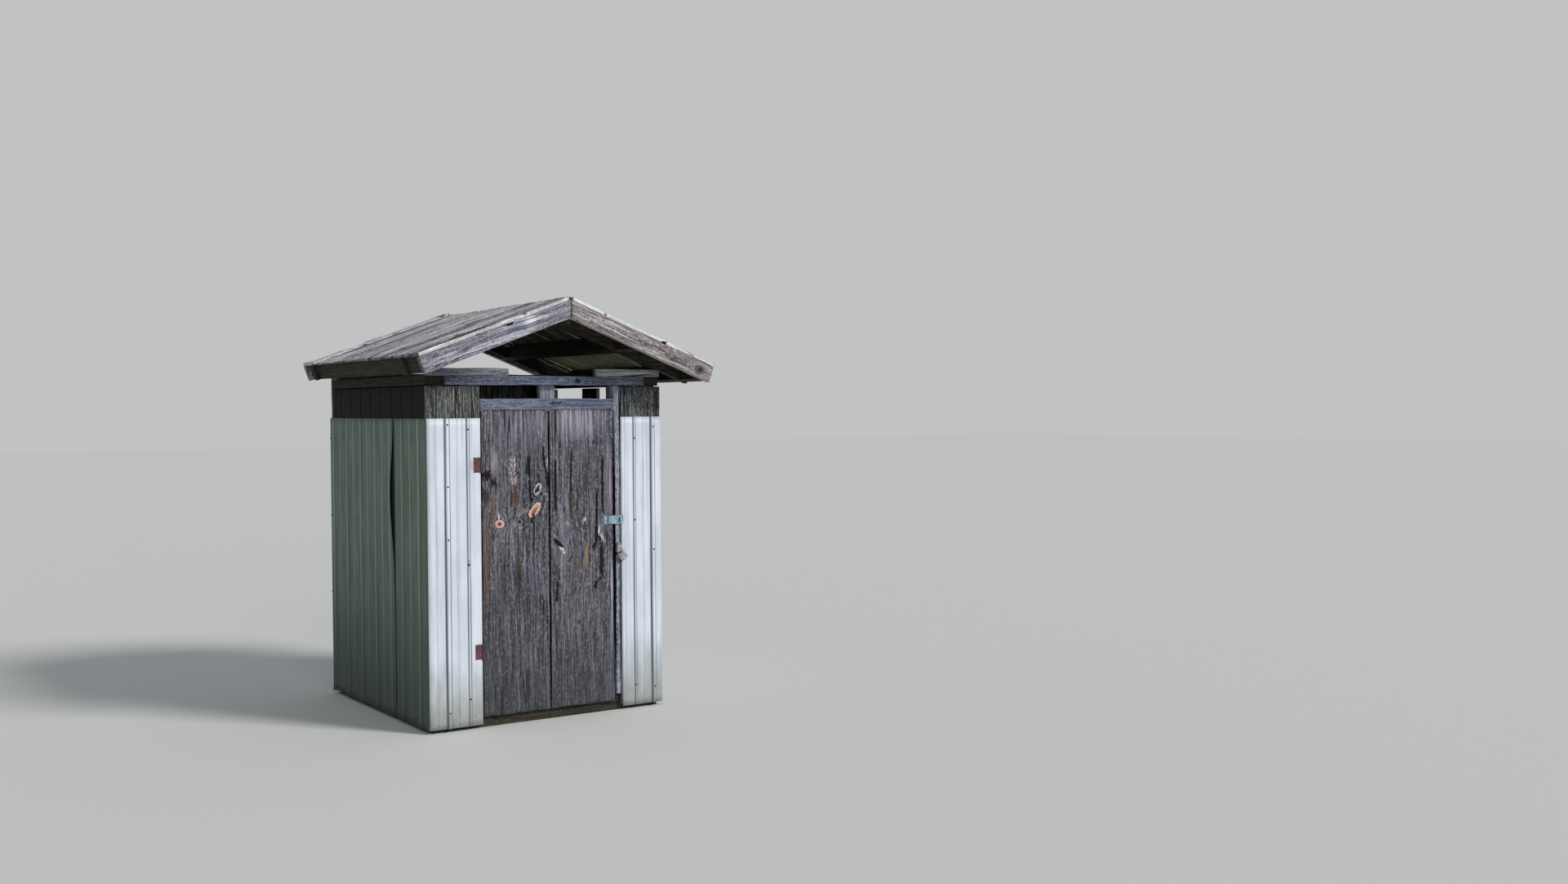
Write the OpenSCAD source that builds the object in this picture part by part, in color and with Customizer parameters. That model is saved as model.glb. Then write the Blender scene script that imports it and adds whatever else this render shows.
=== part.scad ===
// Small timber outhouse with a plank door, ribbed steel cladding and an open gable roof.
// Millimetres, +Z up, door side towards -Y.
// The origin is on the ground, under the middle of the roof; the ridge is 21 mm left of it.

/* [Walls] */
// Width over the wall boards
body_w = 1370; // [1200:10:1600]
// Depth over the wall boards
body_d = 1470; // [1300:10:1700]
// Distance from the ridge line to the middle of the walls, towards the left
wall_shift = 20; // [0:5:40]
// Thickness of the wall boards
board_t = 25; // [20:1:28]
// Height of the tops of the side and front boards
board_top = 1785; // [1700:5:1900]
// Height of the undersides of the wall boards
board_foot = 30; // [10:5:60]
// Gap between two wall boards
board_gap = 4; // [2:1:6]

/* [Frame] */
// Side of the square corner posts
post_s = 75; // [70:1:90]
// Height of the sills on the ground
sill_h = 90; // [70:5:120]
// Height of the front header and of the side plates
plate_h = 49; // [40:1:60]
// Depth of the front header, the lintel and the vent post
header_t = 38; // [32:1:45]
// Height of the blocks under the rafters
rafter_block_h = 41; // [30:1:60]
// Thickness of the floor boards
floor_t = 22; // [18:1:30]

/* [Roof] */
// Height of the ridge
ridge_z = 2253; // [2150:1:2400]
// Height of the roof's upper face straight above the outside of a side wall
roof_wall_z = 1992; // [1985:1:1995]
// Horizontal run of the left slope from the ridge to the eave
roof_run_left = 842; // [800:1:900]
// Horizontal run of the right slope from the ridge to the eave
roof_run_right = 884; // [800:1:900]
// Distance that the roof stands forward of the front wall
overhang_front = 240; // [150:5:300]
// Distance that the roof stands behind the back wall
overhang_back = 100; // [60:5:200]
// Thickness of the roof boards
roof_board_t = 22; // [18:1:25]
// Number of roof boards on each slope
roof_boards = 10; // [8:1:12]
// Depth of the rafters and rake boards, square to the slope
rafter_d = 89; // [80:1:100]
// Thickness of the rafters and rake boards
rafter_t = 38; // [30:1:45]
// Clearance that keeps sloping members off the roof boards and off each other
slope_fit = 0.3; // [0.1:0.1:0.5]

/* [Steel sheets] */
// Thickness of the folded sheet
steel_t = 1.5; // [1:0.1:2]
// Height of the tops of the sheets
steel_top = 1617; // [1500:1:1700]
// Height of the feet of the sheets
steel_foot = 20; // [10:5:60]
// Distance between the main ribs
rib_pitch = 229; // [200:1:260]
// Height of the main ribs
rib_h = 12; // [8:1:19]
// Width of the main ribs at the foot
rib_base = 30; // [24:1:50]
// Width of the main ribs at the crest
rib_crest = 14; // [8:1:20]
// Height of the low ribs halfway between the main ones
low_rib_h = 4; // [2:1:6]

/* [Door] */
// Left edge of the door, from the middle of the walls
door_left = -385; // [-400:1:-370]
// Right edge of the door, from the middle of the walls
door_right = 386; // [370:1:400]
// Thickness of the door boards
door_t = 20; // [16:1:20]
// Height of the door's foot
door_foot = 55; // [40:5:80]
// Height of the door's head
door_head = 1663; // [1600:1:1670]
// Gap between the two door boards
door_gap = 7; // [4:1:10]
// Clearance between the door and what stands beside it
door_clear = 8; // [6:1:12]

/* [Hardware] */
// Height of a hinge leaf
hinge_h = 78; // [60:1:100]
// Width of a hinge leaf
hinge_w = 42; // [24:1:50]
// Heights of the middles of the two hinges
hinge_heights = [400, 1374];
// Radius of the hinge knuckles
knuckle_r = 4.5; // [4:0.5:5]
// Radius of the hinge pins
pin_r = 2.2; // [2:0.1:2.5]
// Height of the middle of the hasp
hasp_z = 1053; // [1000:1:1100]
// Height of the turn button's screw
button_z = 875; // [850:1:920]
// Tilt of the turn button below the horizontal
button_tilt = 56; // [50:1:80]

/* [Hidden] */
$fn = 48;
roof_half = (body_d + overhang_front + overhang_back) / 2;
wall_front = overhang_front - roof_half;
wall_back = roof_half - overhang_back;
ridge_x = (roof_run_left - roof_run_right) / 2;
wall_mid = ridge_x - wall_shift;
wall_left = wall_mid - body_w / 2;
wall_right = wall_mid + body_w / 2;
frame_front = wall_front + board_t;
frame_back = wall_back - board_t;
frame_left = wall_left + board_t;
frame_right = wall_right - board_t;
in_front = frame_front + post_s;
in_back = frame_back - post_s;
in_left = frame_left + post_s;
in_right = frame_right - post_s;
header_z = board_top + board_gap;
plate_top = header_z + plate_h;
block_top = plate_top + rafter_block_h;
slope_left = (ridge_z - roof_wall_z) / (ridge_x - wall_left);
slope_right = (ridge_z - roof_wall_z) / (wall_right - ridge_x);
rafter_low = roof_board_t + rafter_d;
lintel_z = door_head + door_clear;
lintel_h = 48;
skin = wall_front - steel_t;
door_x0 = wall_mid + door_left;
door_x1 = wall_mid + door_right;
door_mid = (door_x0 + door_x1) / 2;
door_edge = door_x0 - door_clear;
jamb_w = 28;
jamb_x = door_x1 + door_clear + 2;
right_edge = jamb_x + jamb_w;
leaf_t = 2;
hinge_x = door_x0 - knuckle_r;
hinge_y = skin - knuckle_r;
hasp_r = 6;
hasp_x = wall_mid + 354;
hasp_y = skin - hasp_r;
staple_x = wall_mid + 420;
button_x = wall_mid + 414;
button_y = skin - 5;
timber = "#6f6a72";
grey_timber = "#9a949c";
dark_timber = "#4b474c";
painted_steel = "#dfe2e6";
rusty_iron = "#7a3f34";
plated_iron = "#7f8779";

// Straight timber between two opposite corners
module timber_box(low, high) {
    translate(low)
        cube(high - low);
}

// A straight cylinder along Y, from one depth to another
module rod_y(x, z, r, y0, y1) {
    translate([x, y1, z])
        rotate([90, 0, 0])
            cylinder(r = r, h = y1 - y0);
}

// Sills and floor

module sill(x0, x1, y0, y1) {
    color(dark_timber)
        timber_box([x0, y0, 0], [x1, y1, sill_h]);
}

module sill_left() {
    sill(frame_left, in_left, frame_front, frame_back);
}

module sill_right() {
    sill(in_right, frame_right, frame_front, frame_back);
}

module sill_front() {
    sill(in_left, in_right, frame_front, in_front);
}

module sill_back() {
    sill(in_left, in_right, in_back, frame_back);
}

module floor_joists() {
    joist_w = 50;
    color(dark_timber)
        for (i = [1:3]) {
            x = in_left + (in_right - in_left) * i / 4;
            timber_box([x - joist_w / 2, in_front, 15], [x + joist_w / 2, in_back, sill_h]);
        }
}

module floor_boards() {
    count = 9;
    pitch = (in_back - in_front) / count;
    color(timber)
        for (i = [0:count - 1])
            timber_box(
                [in_left, in_front + i * pitch, sill_h],
                [in_right, in_front + (i + 1) * pitch - board_gap, sill_h + floor_t]
            );
}

// Posts, girts and the members over the door

module corner_post(x, y) {
    color(dark_timber)
        timber_box([x, y, sill_h], [x + post_s, y + post_s, header_z]);
}

module post_front_left() {
    corner_post(frame_left, frame_front);
}

module post_front_right() {
    corner_post(in_right, frame_front);
}

module post_back_left() {
    corner_post(frame_left, in_back);
}

module post_back_right() {
    corner_post(in_right, in_back);
}

// Rails that the upright boards are nailed to, two to each closed wall
module wall_girts() {
    girt_t = 38;
    color(dark_timber)
        for (z = [600, 1500]) {
            timber_box([frame_left, in_front, z], [frame_left + girt_t, in_back, z + post_s]);
            timber_box([frame_right - girt_t, in_front, z], [frame_right, in_back, z + post_s]);
            timber_box([in_left, frame_back - girt_t, z], [in_right, frame_back, z + post_s]);
        }
}

module door_jamb_left() {
    color(dark_timber)
        timber_box([door_edge - 38, frame_front, sill_h], [door_edge, in_front, header_z]);
}

module door_jamb_right() {
    color(grey_timber)
        timber_box([jamb_x, wall_front, sill_h], [right_edge, in_front, header_z]);
}

// Lintel with a stop strip under its inner edge, which the closed door shuts against
module door_lintel() {
    stop_t = 14;
    stop_h = 20;
    back = wall_front + header_t;
    color(grey_timber) {
        timber_box([door_edge, wall_front, lintel_z], [jamb_x, back, lintel_z + lintel_h]);
        timber_box([door_edge, back - stop_t, lintel_z - stop_h], [jamb_x, back, lintel_z]);
    }
}

// Short post that ties the lintel to the header, seen through the slot over the door
module vent_post() {
    x = wall_mid - 32;
    y = wall_front + header_t;
    color(timber)
        timber_box([x, y, lintel_z], [x + rafter_d, y + header_t, plate_top]);
}

module front_header() {
    color(grey_timber)
        timber_box(
            [in_left, wall_front, header_z],
            [in_right, wall_front + header_t, plate_top]
        );
}

// The back header lies on the side plates, so daylight shows under it
module back_header() {
    color(dark_timber)
        timber_box(
            [wall_left, frame_back - post_s, plate_top],
            [wall_right, frame_back, block_top]
        );
}

module rafter_block(x0, x1) {
    color(grey_timber)
        timber_box([x0, wall_front, plate_top], [x1, wall_front + header_t, block_top]);
}

module rafter_blocks() {
    rafter_block(wall_left, wall_left + 460);
    rafter_block(wall_right - 400, wall_right);
}

module side_plate(x) {
    color(dark_timber)
        timber_box(
            [x, frame_front, header_z],
            [x + post_s + board_t, frame_back, plate_top]
        );
}

module side_plate_left() {
    side_plate(wall_left);
}

module side_plate_right() {
    side_plate(in_right);
}

// Wall boards

// Upright boards of a front or back wall between the joints listed
module boards_along_x(joints, y, top) {
    for (i = [0:len(joints) - 2])
        timber_box(
            [wall_mid + joints[i], y, board_foot],
            [wall_mid + joints[i + 1] - board_gap, y + board_t, top]
        );
}

// Upright boards of equal width along a side wall
module boards_along_y(x, count) {
    pitch = (frame_back - frame_front) / count;
    for (i = [0:count - 1])
        timber_box(
            [x, frame_front + i * pitch, board_foot],
            [x + board_t, frame_front + (i + 1) * pitch - board_gap, board_top]
        );
}

module front_boards_left() {
    color(timber)
        boards_along_x([-685, -630, -525, -435, door_left - door_clear + board_gap], wall_front, board_top);
}

module front_boards_right() {
    color(timber)
        boards_along_x([right_edge - wall_mid, 588, 689], wall_front, board_top);
}

module left_wall_boards() {
    color(dark_timber)
        boards_along_y(wall_left, 9);
}

// Boards are missing near the top of this wall, so daylight shows between the rest
module right_wall_boards() {
    color(dark_timber)
        for (run = [[frame_front, 140], [-500, 140], [-360, 140], [-220, 140], [43, 190], [600, 180]])
            timber_box(
                [frame_right, run[0], board_foot],
                [frame_right + board_t, run[0] + run[1] - board_gap, board_top]
            );
}

module back_wall_boards() {
    color(dark_timber)
        boards_along_x([-685, -545, -400, -260, -120, 20, 160, 300, 450, 613, 689], frame_back, block_top);
}

// Ribbed steel sheets

// One rib's four corners, about its middle
function rib_corners(x, base, crest, h, lift) = [
    [x - base / 2, lift],
    [x - crest / 2, lift + h],
    [x + crest / 2, lift + h],
    [x + base / 2, lift]
];

function main_rib(x, lift) = rib_corners(x, rib_base, rib_crest, rib_h, lift);

function low_rib(x, lift) = rib_corners(x, rib_base / 2, rib_crest / 2, low_rib_h, lift);

// Main and low ribs take turns, half a pitch apart. The first rib is a main one at an even turn.
function rib_line(width, first, turn, lift) = concat(
    [[0, lift]],
    [
        for (i = [0:floor((width - first - rib_base / 2) / (rib_pitch / 2))])
            let (x = first + i * rib_pitch / 2)
            for (corner = (i + turn) % 2 == 0 ? main_rib(x, lift) : low_rib(x, lift))
                corner
    ],
    [[width, lift]]
);

function backwards(points) = [for (i = [len(points) - 1:-1:0]) points[i]];

// Folded sheet standing upright, ribs towards -Y, its back on the plane y = 0
module ribbed_sheet(width, first, turn = 0) {
    outer = rib_line(width, first, turn, steel_t);
    inner = rib_line(width, first, turn, 0);
    color(painted_steel)
        translate([0, 0, steel_foot])
            linear_extrude(height = steel_top - steel_foot)
                mirror([0, 1])
                    polygon(concat(outer, backwards(inner)));
}

module steel_front_left() {
    translate([wall_left, wall_front, 0])
        ribbed_sheet(body_w / 2 + door_left - door_clear, 105);
}

module steel_front_right() {
    edge = right_edge + 10;
    translate([edge, wall_front, 0])
        ribbed_sheet(wall_right - edge, 84, 1);
}

// A side wall carries a wide sheet and a narrow one with an open joint between them
module side_sheets() {
    joint = 453;
    joint_gap = 48;
    ribbed_sheet(joint, 124);
    translate([joint + joint_gap, 0, 0])
        ribbed_sheet(body_d - joint - joint_gap, 30);
}

module steel_left() {
    translate([wall_left, wall_front, 0])
        mirror([1, 0, 0])
            rotate([0, 0, 90])
                side_sheets();
}

module steel_right() {
    translate([wall_right, wall_front, 0])
        rotate([0, 0, 90])
            side_sheets();
}

module steel_back() {
    translate([wall_right, wall_back, 0])
        rotate([0, 0, 180]) {
            ribbed_sheet(body_w / 2, 60);
            translate([body_w / 2 + 2, 0, 0])
                ribbed_sheet(body_w / 2 - 2, 60);
        }
}

// Roof

// Side is -1 for the left slope and 1 for the right one
function slope_of(side) = side < 0 ? slope_left : slope_right;

function run_of(side) = side < 0 ? roof_run_left : roof_run_right;

// Outline of one layer of a slope, between two depths below the roof's upper face.
// Its upper end is cut plumb at x0 and its lower end square to the slope.
function slope_outline(slope, run, d0, d1, x0) =
    let (a = atan(slope))
    [
        [x0, ridge_z - slope * x0 - d0 / cos(a)],
        [run - d0 * sin(a), ridge_z - slope * run - d0 * cos(a)],
        [run - d1 * sin(a), ridge_z - slope * run - d1 * cos(a)],
        [x0, ridge_z - slope * x0 - d1 / cos(a)]
    ];

module slope_layer(side, d0, d1, x0, y0, y1) {
    translate([ridge_x, y1, 0])
        rotate([90, 0, 0])
            linear_extrude(height = y1 - y0)
                scale_side(side)
                    polygon(slope_outline(slope_of(side), run_of(side), d0, d1, x0));
}

// Turns a right-hand outline into a left-hand one
module scale_side(side) {
    if (side < 0) {
        mirror([1, 0])
            children();
    } else {
        children();
    }
}

module roof_slope_boards(side) {
    pitch = 2 * roof_half / roof_boards;
    color(grey_timber)
        for (i = [0:roof_boards - 1])
            slope_layer(
                side, 0, roof_board_t, 0.5,
                -roof_half + i * pitch + (i == 0 ? 0 : board_gap / 2),
                -roof_half + (i + 1) * pitch - (i == roof_boards - 1 ? 0 : board_gap / 2)
            );
}

module roof_boards_left() {
    roof_slope_boards(-1);
}

module roof_boards_right() {
    roof_slope_boards(1);
}

module rake_board(side, y0) {
    color(grey_timber)
        slope_layer(side, roof_board_t + slope_fit, rafter_low, 0.5, y0, y0 + rafter_t);
}

module rake_board_left() {
    rake_board(-1, -roof_half);
}

module rake_board_right() {
    rake_board(1, -roof_half);
}

module back_rake_boards() {
    rake_board(-1, roof_half - rafter_t);
    rake_board(1, roof_half - rafter_t);
}

module ridge_beam() {
    beam_d = 114;
    top = ridge_z - roof_board_t / cos(atan(slope_right)) - slope_right * rafter_t / 2;
    color(dark_timber)
        timber_box(
            [ridge_x - rafter_t / 2, -roof_half + rafter_t, top - beam_d],
            [ridge_x + rafter_t / 2, roof_half - rafter_t, top]
        );
}

// Rafters over the front and back walls, seated on the blocks and the back header
module rafters() {
    front = wall_front;
    back = frame_back - rafter_t;
    color(timber)
        difference() {
            for (side = [-1, 1])
                for (y = [front, back])
                    slope_layer(
                        side, roof_board_t + slope_fit, rafter_low, rafter_t / 2 + slope_fit,
                        y, y + rafter_t
                    );
            timber_box(
                [wall_left - 1, wall_front - 1, plate_top],
                [wall_right + 1, wall_back, block_top]
            );
        }
}

// Short purlins between the rafters, at mid-slope and along the eave
module slope_purlins(side) {
    slope = slope_of(side);
    a = atan(slope);
    eave_run = run_of(side) - rafter_t;
    bays = [
        [-roof_half + rafter_t, wall_front],
        [wall_front + rafter_t, frame_back - rafter_t],
        [frame_back, roof_half - rafter_t]
    ];
    color(dark_timber)
        for (bay = bays)
            for (run = [run_of(side) / 2, eave_run])
                translate([ridge_x + side * run, bay[1] - slope_fit, ridge_z - slope * run])
                    rotate([90, side * a, 0])
                        translate([-rafter_t / 2, -rafter_low, 0])
                            cube([rafter_t, rafter_d - slope_fit, bay[1] - bay[0] - 2 * slope_fit]);
}

module purlins_left() {
    slope_purlins(-1);
}

module purlins_right() {
    slope_purlins(1);
}

// Door

module door_boards() {
    color(dark_timber) {
        timber_box([door_x0, skin, door_foot], [door_mid - door_gap / 2, skin + door_t, door_head]);
        timber_box([door_mid + door_gap / 2, skin, door_foot], [door_x1, skin + door_t, door_head]);
    }
}

// Two cross ledges on the inside hold the boards together
module door_ledges() {
    ledge_h = 110;
    ledge_t = 22;
    inset = 25;
    color(timber)
        for (z = hinge_heights)
            timber_box(
                [door_x0 + inset, skin + door_t, z - ledge_h / 2],
                [door_x1 - inset, skin + door_t + ledge_t, z + ledge_h / 2]
            );
}

// Butt hinges: three knuckles, the middle one on the door.
// One leaf lies on the wall's face and the other on the door's edge.

module knuckle(z0, z1) {
    difference() {
        translate([hinge_x, hinge_y, z0])
            cylinder(r = knuckle_r, h = z1 - z0);
        translate([hinge_x, hinge_y, z0 - 1])
            cylinder(r = pin_r + 0.05, h = z1 - z0 + 2);
    }
}

// A leaf between two corners, cleared for the pin
module hinge_leaf(low, high) {
    difference() {
        timber_box(low, high);
        translate([hinge_x, hinge_y, low[2] - 1])
            cylinder(r = knuckle_r - 0.5, h = high[2] - low[2] + 2);
    }
}

module hinge_frame_leaves() {
    third = hinge_h / 3;
    color(rusty_iron)
        for (z = hinge_heights) {
            low = z - hinge_h / 2;
            knuckle(low, low + third - 0.5);
            knuckle(low + 2 * third + 0.5, low + hinge_h);
            difference() {
                hinge_leaf([hinge_x - hinge_w, skin - leaf_t, low], [hinge_x, skin, low + hinge_h]);
                translate([hinge_x, hinge_y, low + third - 0.5])
                    cylinder(r = knuckle_r + 2, h = third + 1);
            }
        }
}

module hinge_door_leaves() {
    third = hinge_h / 3;
    color(rusty_iron)
        for (z = hinge_heights) {
            low = z - hinge_h / 2;
            knuckle(low + third, low + 2 * third);
            difference() {
                hinge_leaf([door_x0 - leaf_t, hinge_y, low], [door_x0, skin + door_t - 2, low + hinge_h]);
                for (start = [low - 0.5, low + 2 * third])
                    translate([hinge_x, hinge_y, start])
                        cylinder(r = knuckle_r + 2, h = third + 0.5);
            }
        }
}

module hinge_pins() {
    color(rusty_iron)
        for (z = hinge_heights)
            translate([hinge_x, hinge_y, z - hinge_h / 2 - 2])
                cylinder(r = pin_r, h = hinge_h + 4);
}

// Hasp: a leaf on the door, a slotted strap and a staple beside the door

hasp_h = 46;
hasp_leaf_w = 27;
strap_l = 90;

module hasp_plate() {
    third = hasp_h / 3;
    low = hasp_z - hasp_h / 2;
    color(plated_iron) {
        difference() {
            timber_box([hasp_x - hasp_leaf_w, skin - 2, low], [hasp_x, skin, low + hasp_h]);
            translate([hasp_x, hasp_y, low + third - 0.5])
                cylinder(r = hasp_r + 2, h = third + 1);
        }
        for (start = [low, low + 2 * third + 0.5])
            translate([hasp_x, hasp_y, start])
                cylinder(r = hasp_r, h = third - 0.5);
        translate([hasp_x, hasp_y, low])
            cylinder(r = pin_r, h = hasp_h);
    }
}

module hasp_strap() {
    third = hasp_h / 3;
    low = hasp_z - hasp_h / 2;
    slot_w = 12;
    slot_h = 28;
    reach = hasp_r + 2;
    color(plated_iron)
        difference() {
            union() {
                translate([hasp_x, hasp_y, low + third])
                    cylinder(r = hasp_r, h = third);
                timber_box(
                    [hasp_x, hasp_y - 1, low + third],
                    [hasp_x + reach + 2, hasp_y + 1, low + 2 * third]
                );
                timber_box(
                    [hasp_x + reach, hasp_y - 1, low],
                    [hasp_x + strap_l, hasp_y + 1, low + hasp_h]
                );
            }
            translate([hasp_x, hasp_y, low + third - 1])
                cylinder(r = pin_r + 0.05, h = third + 2);
            timber_box(
                [staple_x - slot_w / 2, hasp_y - 3, hasp_z - slot_h / 2],
                [staple_x + slot_w / 2, hasp_y + 3, hasp_z + slot_h / 2]
            );
        }
}

module hasp_staple() {
    wire_r = 2.5;
    bow_r = 7;
    reach = 12;
    color(plated_iron) {
        for (z = [hasp_z - bow_r, hasp_z + bow_r])
            rod_y(staple_x, z, wire_r, skin - reach, wall_front);
        translate([staple_x, skin - reach, hasp_z])
            rotate([0, 90, 180])
                rotate_extrude(angle = 180)
                    translate([bow_r, 0])
                        circle(r = wire_r);
    }
}

// Wooden turn button, left hanging at a slant; its corner towards the door has rotted away

module turn_button() {
    thick = 20;
    outline = [[-52, 8.5], [-52, 27], [50, 27], [50, -24], [-4, -24]];
    color(grey_timber)
        translate([button_x, button_y, button_z])
            rotate([0, button_tilt, 0])
                difference() {
                    rotate([90, 0, 0])
                        linear_extrude(height = thick)
                            polygon(outline);
                    rod_y(0, 0, 3.05, -thick - 1, 1);
                }
}

module button_screw() {
    color(rusty_iron) {
        rod_y(button_x, button_z, 3, button_y - 21, wall_front);
        rod_y(button_x, button_z, 6, button_y - 24, button_y - 20.2);
        rod_y(button_x, button_z, 9, button_y + 0.2, wall_front);
    }
}

sill_left();
sill_right();
sill_front();
sill_back();
floor_joists();
floor_boards();
post_front_left();
post_front_right();
post_back_left();
post_back_right();
wall_girts();
door_jamb_left();
door_jamb_right();
door_lintel();
vent_post();
front_header();
back_header();
rafter_blocks();
side_plate_left();
side_plate_right();
front_boards_left();
front_boards_right();
left_wall_boards();
right_wall_boards();
back_wall_boards();
steel_front_left();
steel_front_right();
steel_left();
steel_right();
steel_back();
ridge_beam();
rafters();
purlins_left();
purlins_right();
rake_board_left();
rake_board_right();
back_rake_boards();
roof_boards_left();
roof_boards_right();
door_boards();
door_ledges();
hinge_frame_leaves();
hinge_door_leaves();
hinge_pins();
hasp_plate();
hasp_strap();
hasp_staple();
turn_button();
button_screw();
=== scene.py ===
# %% [markdown]
# # A weathered timber outhouse
# The hut is a frame of posts and sills with upright boards, white ribbed steel nailed over them,
# a plank door and a roof of bare boards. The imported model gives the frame: every solid is already
# at its real size and place, in metres, so this lesson only adds looks to it.

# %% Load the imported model
import math
from functools import partial
import bpy
import numpy as np
from mathutils import Matrix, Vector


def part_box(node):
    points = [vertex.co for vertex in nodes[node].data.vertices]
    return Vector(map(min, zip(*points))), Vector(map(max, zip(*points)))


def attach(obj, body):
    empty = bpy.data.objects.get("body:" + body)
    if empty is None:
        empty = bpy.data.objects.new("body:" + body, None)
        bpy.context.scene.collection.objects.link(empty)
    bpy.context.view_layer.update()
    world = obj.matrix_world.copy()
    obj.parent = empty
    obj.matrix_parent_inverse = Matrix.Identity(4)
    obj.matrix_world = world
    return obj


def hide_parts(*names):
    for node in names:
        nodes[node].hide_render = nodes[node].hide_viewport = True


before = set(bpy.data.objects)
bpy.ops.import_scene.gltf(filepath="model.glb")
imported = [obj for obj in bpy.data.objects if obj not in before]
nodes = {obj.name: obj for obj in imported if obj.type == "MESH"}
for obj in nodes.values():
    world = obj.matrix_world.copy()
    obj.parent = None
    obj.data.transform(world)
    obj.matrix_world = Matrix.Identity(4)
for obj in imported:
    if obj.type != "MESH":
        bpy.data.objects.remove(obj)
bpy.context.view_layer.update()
RIDGE_X = float(np.mean([corner[0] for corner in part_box("ridge_beam")]))
print("the ridge line is at x =", round(RIDGE_X, 4))

# %% [markdown]
# ## Camera
# The camera stands in front of the door wall and to its left, at eye height. Its place, measured
# from the ridge line, and its turn were found by fitting the hut's corners, door and roof edges to
# the picture, where the hut stands left of the middle.

# %% Camera
PHOTO_WIDTH = 1920
FOCAL_PIXELS = 1870.8
SENSOR_MM = 36.0
CAMERA_YAW = math.radians(34.80)
CAMERA_DOWN = math.radians(1.30)
CAMERA_ROLL = math.radians(-0.37)

camera_data = bpy.data.cameras.new("photo_camera")
camera_data.sensor_width = SENSOR_MM
camera_data.lens = SENSOR_MM * FOCAL_PIXELS / PHOTO_WIDTH
camera = bpy.data.objects.new("photo_camera", camera_data)
bpy.context.scene.collection.objects.link(camera)
camera.location = (RIDGE_X - 3.647, -8.086, 1.6635)
ahead = np.array([
    math.sin(CAMERA_YAW) * math.cos(CAMERA_DOWN),
    math.cos(CAMERA_YAW) * math.cos(CAMERA_DOWN),
    -math.sin(CAMERA_DOWN),
])
level = np.array([math.cos(CAMERA_YAW), -math.sin(CAMERA_YAW), 0.0])
upward = np.cross(level, ahead)
right = math.cos(CAMERA_ROLL) * level + math.sin(CAMERA_ROLL) * upward
above = np.cross(right, ahead)
camera.rotation_euler = Matrix(np.array([right, above, -ahead]).T.tolist()).to_euler()
bpy.context.scene.camera = camera
print("lens:", round(camera_data.lens, 2), "mm")

# %% [markdown]
# ## Colours and nodes
# Colours are written as the hex values that one reads off a picture, and turned to the linear
# values that a renderer adds up. One helper adds a node: its settings come first because some of
# them change the sockets, and then each socket gets a value or the output of another node. Each
# material has an `add` of its own, which is that helper bound to its tree.

# %% Colours and nodes
def linear(shade, factor=1.0):
    """Hex sRGB to linear: c / 12.92 up to 0.04045, else ((c + 0.055) / 1.055) ^ 2.4; times a factor."""
    parts = np.array([int(shade[i:i + 2], 16) for i in (1, 3, 5)]) / 255.0
    curved = ((parts + 0.055) / 1.055) ** 2.4
    return (*(np.where(parts <= 0.04045, parts / 12.92, curved) * factor).tolist(), 1.0)


def set_sockets(node, sockets):
    """Links each socket to another node's output or gives it its value; a hex shade turns linear."""
    for place, value in sockets.items():
        if isinstance(value, bpy.types.NodeSocket):
            node.id_data.links.new(value, node.inputs[place])
        else:
            node.inputs[place].default_value = linear(value) if isinstance(value, str) else value


def add_node(tree, kind, *values, sockets=None, **settings):
    """Adds a node of a kind, such as Mix or "Math ADD" with its operation, and its settings.

    Fills sockets 0, 1, 2 and on with the values, and then the named ones. Returns its live output.
    """
    kind, *operation = kind.split()
    node = tree.nodes.new("ShaderNode" + kind)
    for name, setting in [*zip(["operation"], operation), *settings.items()]:
        setattr(node, name, setting)
    set_sockets(node, dict(enumerate(values)) | (sockets or {}))
    live = [socket for socket in node.outputs if socket.enabled]
    return live[0] if live else node


def new_material(name):
    """A material, its Principled shader and the adder of its nodes."""
    material = bpy.data.materials.new(name)
    material.use_nodes = True
    return material, material.node_tree.nodes["Principled BSDF"], partial(add_node, material.node_tree)


def noise(add, place, across_mm, along_mm, detail=3.0, rough=0.55, shift=0.0):
    """Noise whose cells are across_mm wide and along_mm long in the coordinates of place."""
    squeeze = (1000.0 / across_mm, 1000.0 / across_mm, 1000.0 / along_mm)
    scaled = add("VectorMath MULTIPLY_ADD", place, squeeze, (shift, shift, shift))
    return add("TexNoise", sockets={"Vector": scaled, "Scale": 1.0, "Detail": detail, "Roughness": rough})


def layer(add, under, over, value, low, high, amount=1.0):
    """Lays the shade `over` on `under`: none where value is low, up to amount where it is high."""
    part = add("MapRange", value, low, high, 0.0, amount, interpolation_type="SMOOTHSTEP")
    return add("Mix", part, sockets={6: under, 7: over}, data_type="RGBA")


print("linear #808080:", [round(c, 3) for c in linear("#808080")])

# %% [markdown]
# ## Marks on a surface
# A knot, a stain and a run of a crack are all the same thing to a shader: an ellipse on the board,
# with a distance that is 1 at its edge. A little noise is added to that distance, so no edge is
# clean. A long crack is a chain of thin ellipses.

# %% Marks
def mark(x, z, half_x, half_z, shade, soft=0.35, amount=1.0, tilt=0.0, push=0.0, deep=0.0, rim="",
         core="", square=False):
    """A knot, stain or crack: middle and half sizes in millimetres on the board, tilt in degrees."""
    middle = None if x is None else (x / 1000.0, 0.0, z / 1000.0)
    return dict(middle=middle, size=(half_x / 1000.0, half_z / 1000.0), shade=shade, soft=soft,
                amount=amount, tilt=tilt, push=push, deep=deep, rim=rim, core=core, square=square)


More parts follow.
